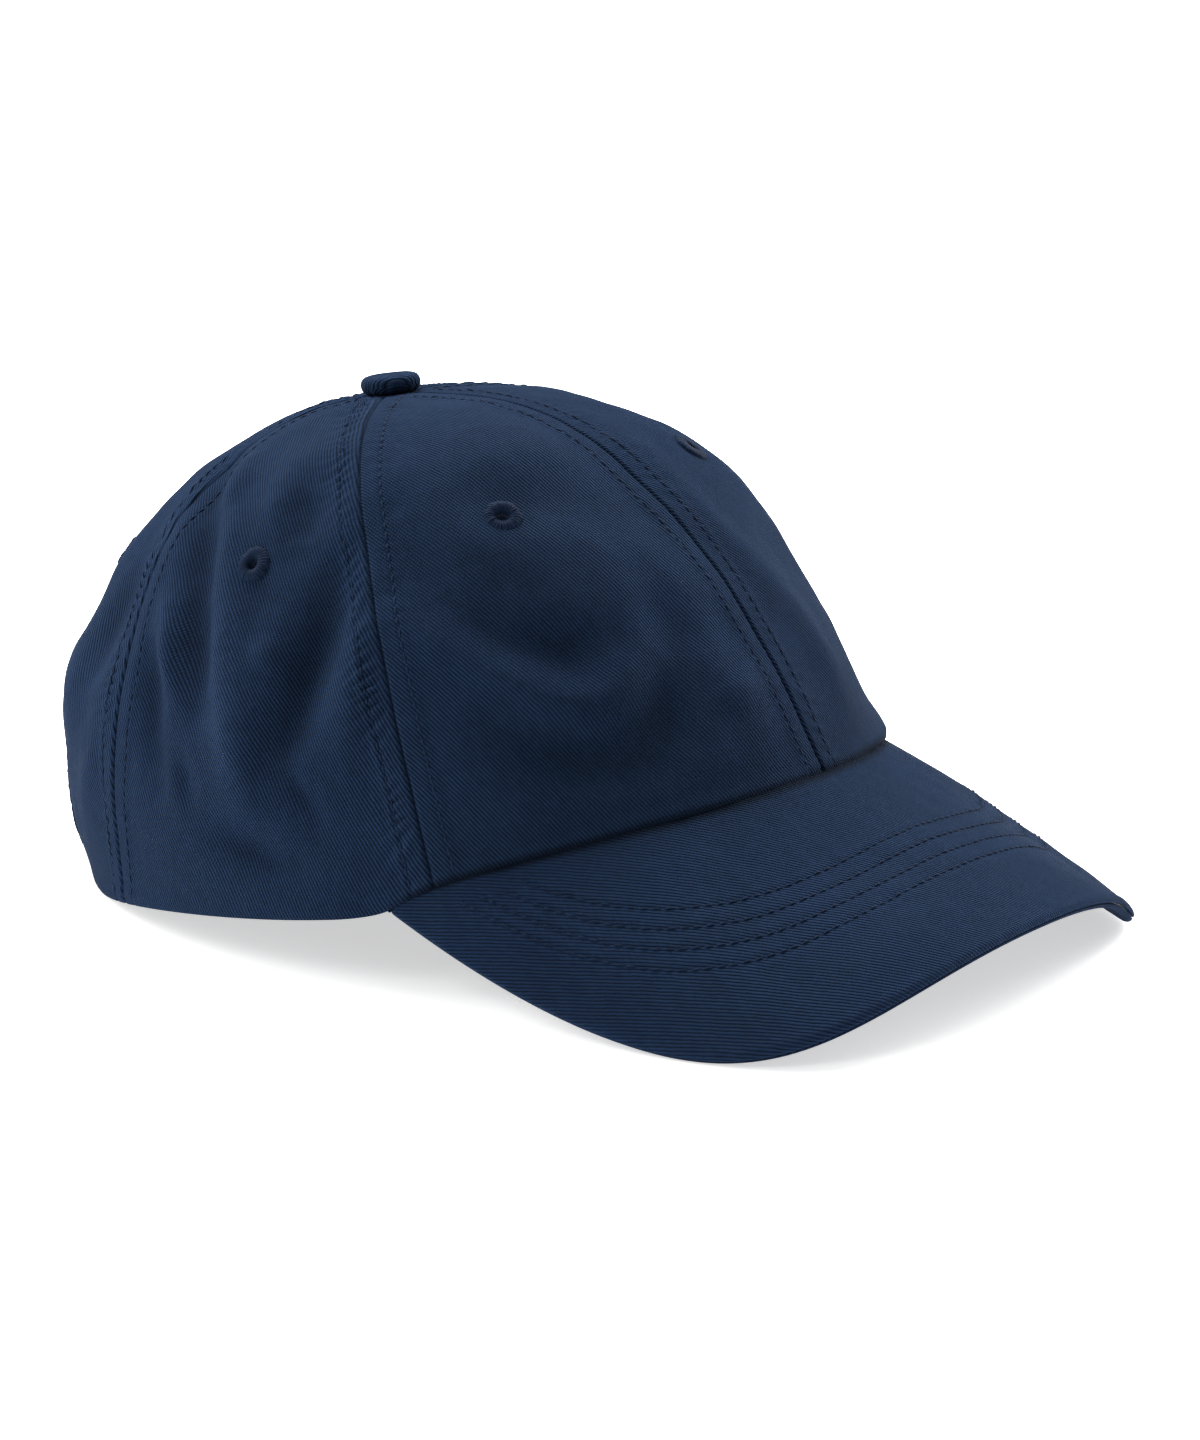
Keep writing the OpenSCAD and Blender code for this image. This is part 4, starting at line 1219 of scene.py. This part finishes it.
def binding_piece():
    a = np.concatenate([np.linspace(0, 8, 14)[:-1], np.linspace(8, 172, 190), np.linspace(172, 180, 14)[1:]])
    # round the section: outside face, over the edge, inside face
    t = 0.85
    sec = [(6.0, 0.10), (5.8, 0.42), (5.3, 0.52), (4.6, 0.36), (4.25, 0.30), (3.9, 0.38), (3.2, 0.56), (2.2, 0.64), (1.2, 0.66), (0.5, 0.52), (0.05, 0.15),
           (-0.12, -0.5), (0.0, -1.1), (0.4, -1.62), (1.2, -1.86), (2.4, -1.84), (3.4, -1.72), (3.9, -1.60), (4.25, -1.52), (4.6, -1.58), (5.2, -1.72), (5.8, -1.62), (6.0, -1.34)]
    inn_sec = [(5.9, 0.02), (5.8, 0.02), (5.3, 0.02), (4.6, 0.02), (4.25, 0.02), (3.9, 0.02), (3.2, 0.02), (2.2, 0.02), (1.4, 0.0), (0.95, -0.1), (0.75, -0.3),
               (0.7, -0.55), (0.75, -0.85), (0.95, -1.1), (1.4, -1.22), (2.4, -1.24), (3.4, -1.24), (3.9, -1.24), (4.25, -1.24), (4.6, -1.24), (5.2, -1.24), (5.8, -1.24), (5.9, -1.24)]
    A_ = []
    B_ = []
    for (w, d), (wi, di) in zip(sec, inn_sec):
        wob = 0.06 * np.sin(a * 1.9) + 0.05 * np.sin(a * 3.7 + 1)
        A_.append(arch_point(a, np.full_like(a, w) + 0.12 * np.sin(a * 0.9), np.full_like(a, d) + (wob if d > 0.2 else 0))[0])
        B_.append(arch_point(a, np.full_like(a, wi), np.full_like(a, di))[0])
    A_, B_ = np.stack(A_), np.stack(B_)
    V, F, used = shell(A_, B_)
    L = np.concatenate([[0], np.cumsum(np.linalg.norm(np.diff(A_[8], axis=0), axis=1))])
    s = np.concatenate([[0], np.cumsum([math.hypot(sec[i + 1][0] - sec[i][0], sec[i + 1][1] - sec[i][1]) for i in range(len(sec) - 1)])])
    uv = np.stack([np.broadcast_to(L[None, :], A_.shape[:2]), np.broadcast_to(s[:, None], A_.shape[:2])], -1).reshape(-1, 2)
    o = make("arch_tape", V, F, np.concatenate([uv, uv])[used], M_BIND)
    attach(o, "cap")
    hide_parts("arch_binding")
    aa = np.linspace(1.5, 178.5, 700)
    p1, n1 = arch_point(aa, np.full_like(aa, 4.25), np.full_like(aa, 0.30))
    p2, n2 = arch_point(aa, np.full_like(aa, 4.25), np.full_like(aa, -1.52))
    o = stitch_piece("stitches_arch", [(p1, n1), (p2, -n2)], M_THREAD, seed=61, length=2.1, step=2.7, rad=0.26, lift=0.10)
    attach(o, "cap")


binding_piece()


# ---------------------------------------------------------------- strap, tab and clasp
def arc_pt(q, z, off):
    """q degrees round the arc, z height across the strap (mm from its middle), off outwards from the outer face"""
    r = ARC_R + z * math.tan(LEAN * D) + off
    return np.stack([r * np.sin(q * D), ARC_Y + r * np.cos(q * D), STRAP_Z + z + 0 * q], -1)


def arc_n(q):
    c, s = math.cos(LEAN * D), math.sin(LEAN * D)
    return np.stack([np.sin(q * D) * c, np.cos(q * D) * c, -s + 0 * q], -1)


def strap_shell(name, q0, q1, off, t, hw, mat, rows, seed, tail=None):
    q = np.linspace(q0, q1, int((q1 - q0) * 2.4))
    zz = np.concatenate([-hw + np.array([0.0, 0.12, 0.45, 0.9, 1.4]), np.linspace(-hw + 1.9, hw - 1.9, 17), hw - np.array([1.4, 0.9, 0.45, 0.12, 0.0])])
    Z, Q = np.meshgrid(zz, q, indexing="ij")
    if tail is not None:
        # the end of the strap is cut round
        e = np.clip((Q - (q1 - tail)) / tail, 0, 1)
        Z = Z * np.sqrt(np.clip(1 - (e * 0.985) ** 2.6, 0.0, 1))
    edge = np.minimum(Z + hw, hw - Z)
    rnd = (t / 2) * (1 - np.sqrt(np.clip(1 - (1 - np.clip(np.minimum(zz + hw, hw - zz) / 0.9, 0, 1)) ** 2, 0, 1)))[:, None] + 0 * Q
    st = np.zeros_like(Z)
    for rz in rows:
        x = Z - rz
        st += -0.26 * np.exp(-(x / 0.45) ** 2) + 0.07 * np.exp(-((np.abs(x) - 1.1) / 0.6) ** 2)
    v = np.stack([Q * 1.33, Z, Z * 0], -1)
    nz = 0.06 * wnoise(W_SM, v) + 0.10 * wnoise(W_MID, v)
    out = arc_pt(Q, Z, off - rnd + st + nz * 0.6)
    inn = arc_pt(Q, Z, off - t + rnd - st * 0.8 + nz * 0.6)
    V, F, used = shell(place(out), place(inn))
    uv = np.stack([Q * D * ARC_R, Z], -1).reshape(-1, 2)
    o = make(name, V, F, np.concatenate([uv, uv])[used], mat, sharp=60)
    lines = []
    for rz in rows:
        qq = np.linspace(q0 + 0.8, q1 - (tail or 0) - 1.0, 500)
        for sg, base_off in ((1, off - 0.20), (-1, off - t + 0.16)):
            pt = place(arc_pt(qq, np.full_like(qq, rz), base_off))
            lines.append((pt, tipped(arc_n(qq)) * sg))
    s = stitch_piece("stitches_" + name, lines, M_THREAD, seed=seed, length=2.1, step=2.7, rad=0.25, lift=0.08)
    return o, s, float(np.ptp(uv[:, 0])), 2 * hw


o, s, l_, w_ = strap_shell("strap_cloth", -48.0, 52.0, 0.0, STRAP_T, STRAP_W / 2, M_STRAP, (-7.9, 7.9), 15, tail=5.0)
for x in (o, s):
    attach(x, "strap")
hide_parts("adjuster_strap")


CLASP_Q = 20.0
PIN_U, PIN_V, FRAME_L, RAIL_H = 7.5, 1.95, 20.0, 1.8
INNER_H = STRAP_W + 1
BAR_U, BAR_V = FRAME_L / 2 + 1.6, 1.7


def clasp_pt(v):
    v = np.asarray(v, float)
    c, s = math.cos(-LEAN * D), math.sin(-LEAN * D)
    x = v[..., 0]
    y = v[..., 1] * c - v[..., 2] * s + ARC_R
    z = v[..., 1] * s + v[..., 2] * c + STRAP_Z
    a = -CLASP_Q * D
    return place(np.stack([x * math.cos(a) - y * math.sin(a), x * math.sin(a) + y * math.cos(a) + ARC_Y, z], -1))


def extrude_clasp(name, outline, z0, z1, mat, bevel=0.25, cols=1, closed_uv=True):
    """a rounded solid from an outline in the clasp's u, v plane, drawn along the strap's width"""
    ol = np.asarray(outline, float)
    m = len(ol)
    # shrink a little at both ends, so that edges are rounded
    c = ol.mean(0)
    d1 = np.roll(ol, -1, 0) - ol
    d0 = ol - np.roll(ol, 1, 0)
    nn = unit(np.stack([(d1 + d0)[:, 1], -(d1 + d0)[:, 0]], -1))
    area = 0.5 * (ol[:, 0] * np.roll(ol[:, 1], -1) - np.roll(ol[:, 0], -1) * ol[:, 1]).sum()
    if area < 0:
        nn = -nn
    steps = [(z0, -bevel), (z0 + bevel * 0.29, -bevel * 0.29), (z0 + bevel, 0.0), (z1 - bevel, 0.0), (z1 - bevel * 0.29, -bevel * 0.29), (z1, -bevel)]
    V = []
    for z, off in steps:
        o2 = ol + nn * off
        V.append(np.stack([o2[:, 0], o2[:, 1], np.full(m, z)], -1))
    V = np.stack(V)
    n = len(steps)
    i, j = np.meshgrid(np.arange(n - 1), np.arange(m), indexing="ij")
    j1 = (j + 1) % m
    F = np.stack([i * m + j, i * m + j1, (i + 1) * m + j1, (i + 1) * m + j], -1).reshape(-1, 4).tolist()
    F.append(list(range(m))[::-1])
    F.append([(n - 1) * m + x for x in range(m)])
    o = make(name, clasp_pt(V.reshape(-1, 3)), F, None, mat, sharp=34)
    return o


# tab: doubled cloth round the bar, its ends sewn inside the panel
def tab_piece():
    th = np.linspace(20, 340, 34)                         # round the bar
    cu = BAR_U + 1.62 * np.cos((180 - th) * D) * 1.0
    zz = np.concatenate([[-10.0, -9.85, -9.4], np.linspace(-8.6, 8.6, 15), [9.4, 9.85, 10.0]])
    # path in the (q, off) plane of the arc: in along the outer leaf, round the bar, back along the inner leaf
    bar_q = CLASP_Q + math.degrees(BAR_U / (ARC_R + BAR_V))
    path = []
    for q in np.linspace(45.0, bar_q + 1.9, 26):
        path.append((q, 1.45))
    for a in np.linspace(70, 290, 22):
        path.append((bar_q + math.degrees(1.50 * math.cos(a * D) / (ARC_R + BAR_V)), BAR_V + 1.50 * math.sin(a * D)))
    for q in np.linspace(bar_q + 1.9, 45.0, 26):
        path.append((q, 0.72))
    path = np.array(path)
    # outward direction of the path, so that the leaf has a thickness
    g = np.gradient(path[:, 0] * D * ARC_R), np.gradient(path[:, 1])
    nn = unit(np.stack([g[1], -g[0]], -1))
    t = 0.30
    A_ = np.empty((len(path), len(zz), 3))
    B_ = np.empty_like(A_)
    for i, (q, off) in enumerate(path):
        dq, do = nn[i][0] / (ARC_R * D), nn[i][1]
        soft = 0.03 * math.sin(i * 1.3)
        A_[i] = place(arc_pt(np.full(len(zz), q + dq * t), zz, off + do * (t + soft)))
        B_[i] = place(arc_pt(np.full(len(zz), q - dq * t), zz, off - do * t))
    V, F, used = shell(A_, B_)
    L = np.concatenate([[0], np.cumsum(np.hypot(*[np.diff(path[:, 0] * D * ARC_R), np.diff(path[:, 1])]))])
    uv = np.stack([np.broadcast_to(L[:, None], A_.shape[:2]), np.broadcast_to(zz[None, :], A_.shape[:2])], -1).reshape(-1, 2)
    o = make("tab_cloth", V, F, np.concatenate([uv, uv])[used], M_STRAP)
    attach(o, "cap")
    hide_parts("clasp_tab")
    zs = np.linspace(-9.2, 9.2, 120)
    pts = place(arc_pt(np.full(120, bar_q + 2.6), zs, 1.45 + 0.22))
    nrm = tipped(arc_n(np.full(120, bar_q + 2.6)))
    s = stitch_piece("stitches_tab", [(pts, nrm)], M_THREAD, seed=8, length=2.0, step=2.5, rad=0.24, lift=0.05)
    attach(s, "cap")


tab_piece()

for node, mat in (("button_rivet", M_STEEL), ("clasp_frame", M_BRASS), ("clasp_pin", M_BRASS), ("clasp_lever", M_BRASS)):
    ob = frame["nodes"][node] if not isinstance(frame["nodes"], list) else bpy.data.objects.get(node)
    if isinstance(ob, str):
        ob = bpy.data.objects[ob]
    ob.data.materials.clear()
    ob.data.materials.append(mat)


# ---------------------------------------------------------------- floor, light, camera
def floor_mat():
    g = G("floor_white")
    o = g.obj()
    n = g.noise(o, 3.0, 2.0, 0.5)
    c = g.n("ShaderNodeRGB")
    c.outputs[0].default_value = (0.86, 0.86, 0.86, 1)
    g.set(Base_Color=g.scale_col(c.outputs[0], g.math("MULTIPLY_ADD", n, 0.01, 0.995)), Roughness=0.9, Specular_IOR_Level=0.1)
    g.bsdf.inputs["Emission Color"].default_value = (1, 1, 1, 1)
    g.bsdf.inputs["Emission Strength"].default_value = 0.58
    return g.m


me = bpy.data.meshes.new("floor")
S = 6.0
me.from_pydata([(-S, -S, 0), (S, -S, 0), (S, S, 0), (-S, S, 0)], [], [(0, 1, 2, 3)])
floor = bpy.data.objects.new("floor", me)
bpy.context.scene.collection.objects.link(floor)
me.materials.append(floor_mat())

sc = bpy.context.scene
w = bpy.data.worlds.new("studio") if sc.world is None else sc.world
sc.world = w
w.use_nodes = True
bg = next((x for x in w.node_tree.nodes if x.type == "BACKGROUND"), None) or w.node_tree.nodes.new("ShaderNodeBackground")
bg.inputs[0].default_value = (1, 1, 1, 1)
bg.inputs[1].default_value = 0.34


def area(name, loc, target, size, power, col=(1, 1, 1)):
    l = bpy.data.lights.new(name, "AREA")
    l.shape = "RECTANGLE"
    l.size, l.size_y = size
    l.energy = power
    l.color = col
    o = bpy.data.objects.new(name, l)
    o.location = loc
    d = Vector(target) - Vector(loc)
    o.rotation_euler = d.to_track_quat("-Z", "Y").to_euler()
    sc.collection.objects.link(o)
    return o


area("key", (0.38, 0.56, 1.20), (0, 0.02, 0.06), (0.8, 0.8), 38.0)
area("rim_right", (1.10, -0.25, 0.60), (0, 0.0, 0.06), (0.6, 1.0), 22.0)
area("rim_left", (-0.75, 1.15, 0.60), (0, 0.0, 0.06), (0.6, 1.0), 18.0)
area("side", (-1.25, 0.05, 1.05), (0, -0.04, 0.05), (0.5, 0.5), 5.0)

cam_d = bpy.data.cameras.new("camera")
cam = bpy.data.objects.new("camera", cam_d)
sc.collection.objects.link(cam)
cam_d.sensor_fit = "HORIZONTAL"
cam_d.sensor_width = 36.0
cam_d.lens = 4760.8 / 1200.0 * 36.0
cam_d.clip_start, cam_d.clip_end = 0.01, 50.0
right = unit(np.array([0.5915, -0.8062, 0.0099]))
back = np.array([-0.7810, -0.5699, 0.2553])
back = unit(back - right * np.dot(back, right))
up = np.cross(back, right)
R = Matrix(((right[0], up[0], back[0]), (right[1], up[1], back[1]), (right[2], up[2], back[2])))
cam.matrix_world = Matrix.Translation((-0.84058, -0.62306, 0.31887)) @ R.to_4x4()
sc.camera = cam
sc.view_settings.view_transform = "Standard"
sc.view_settings.look = "None"
sc.view_settings.exposure = 0.0
sc.view_settings.gamma = 1.0
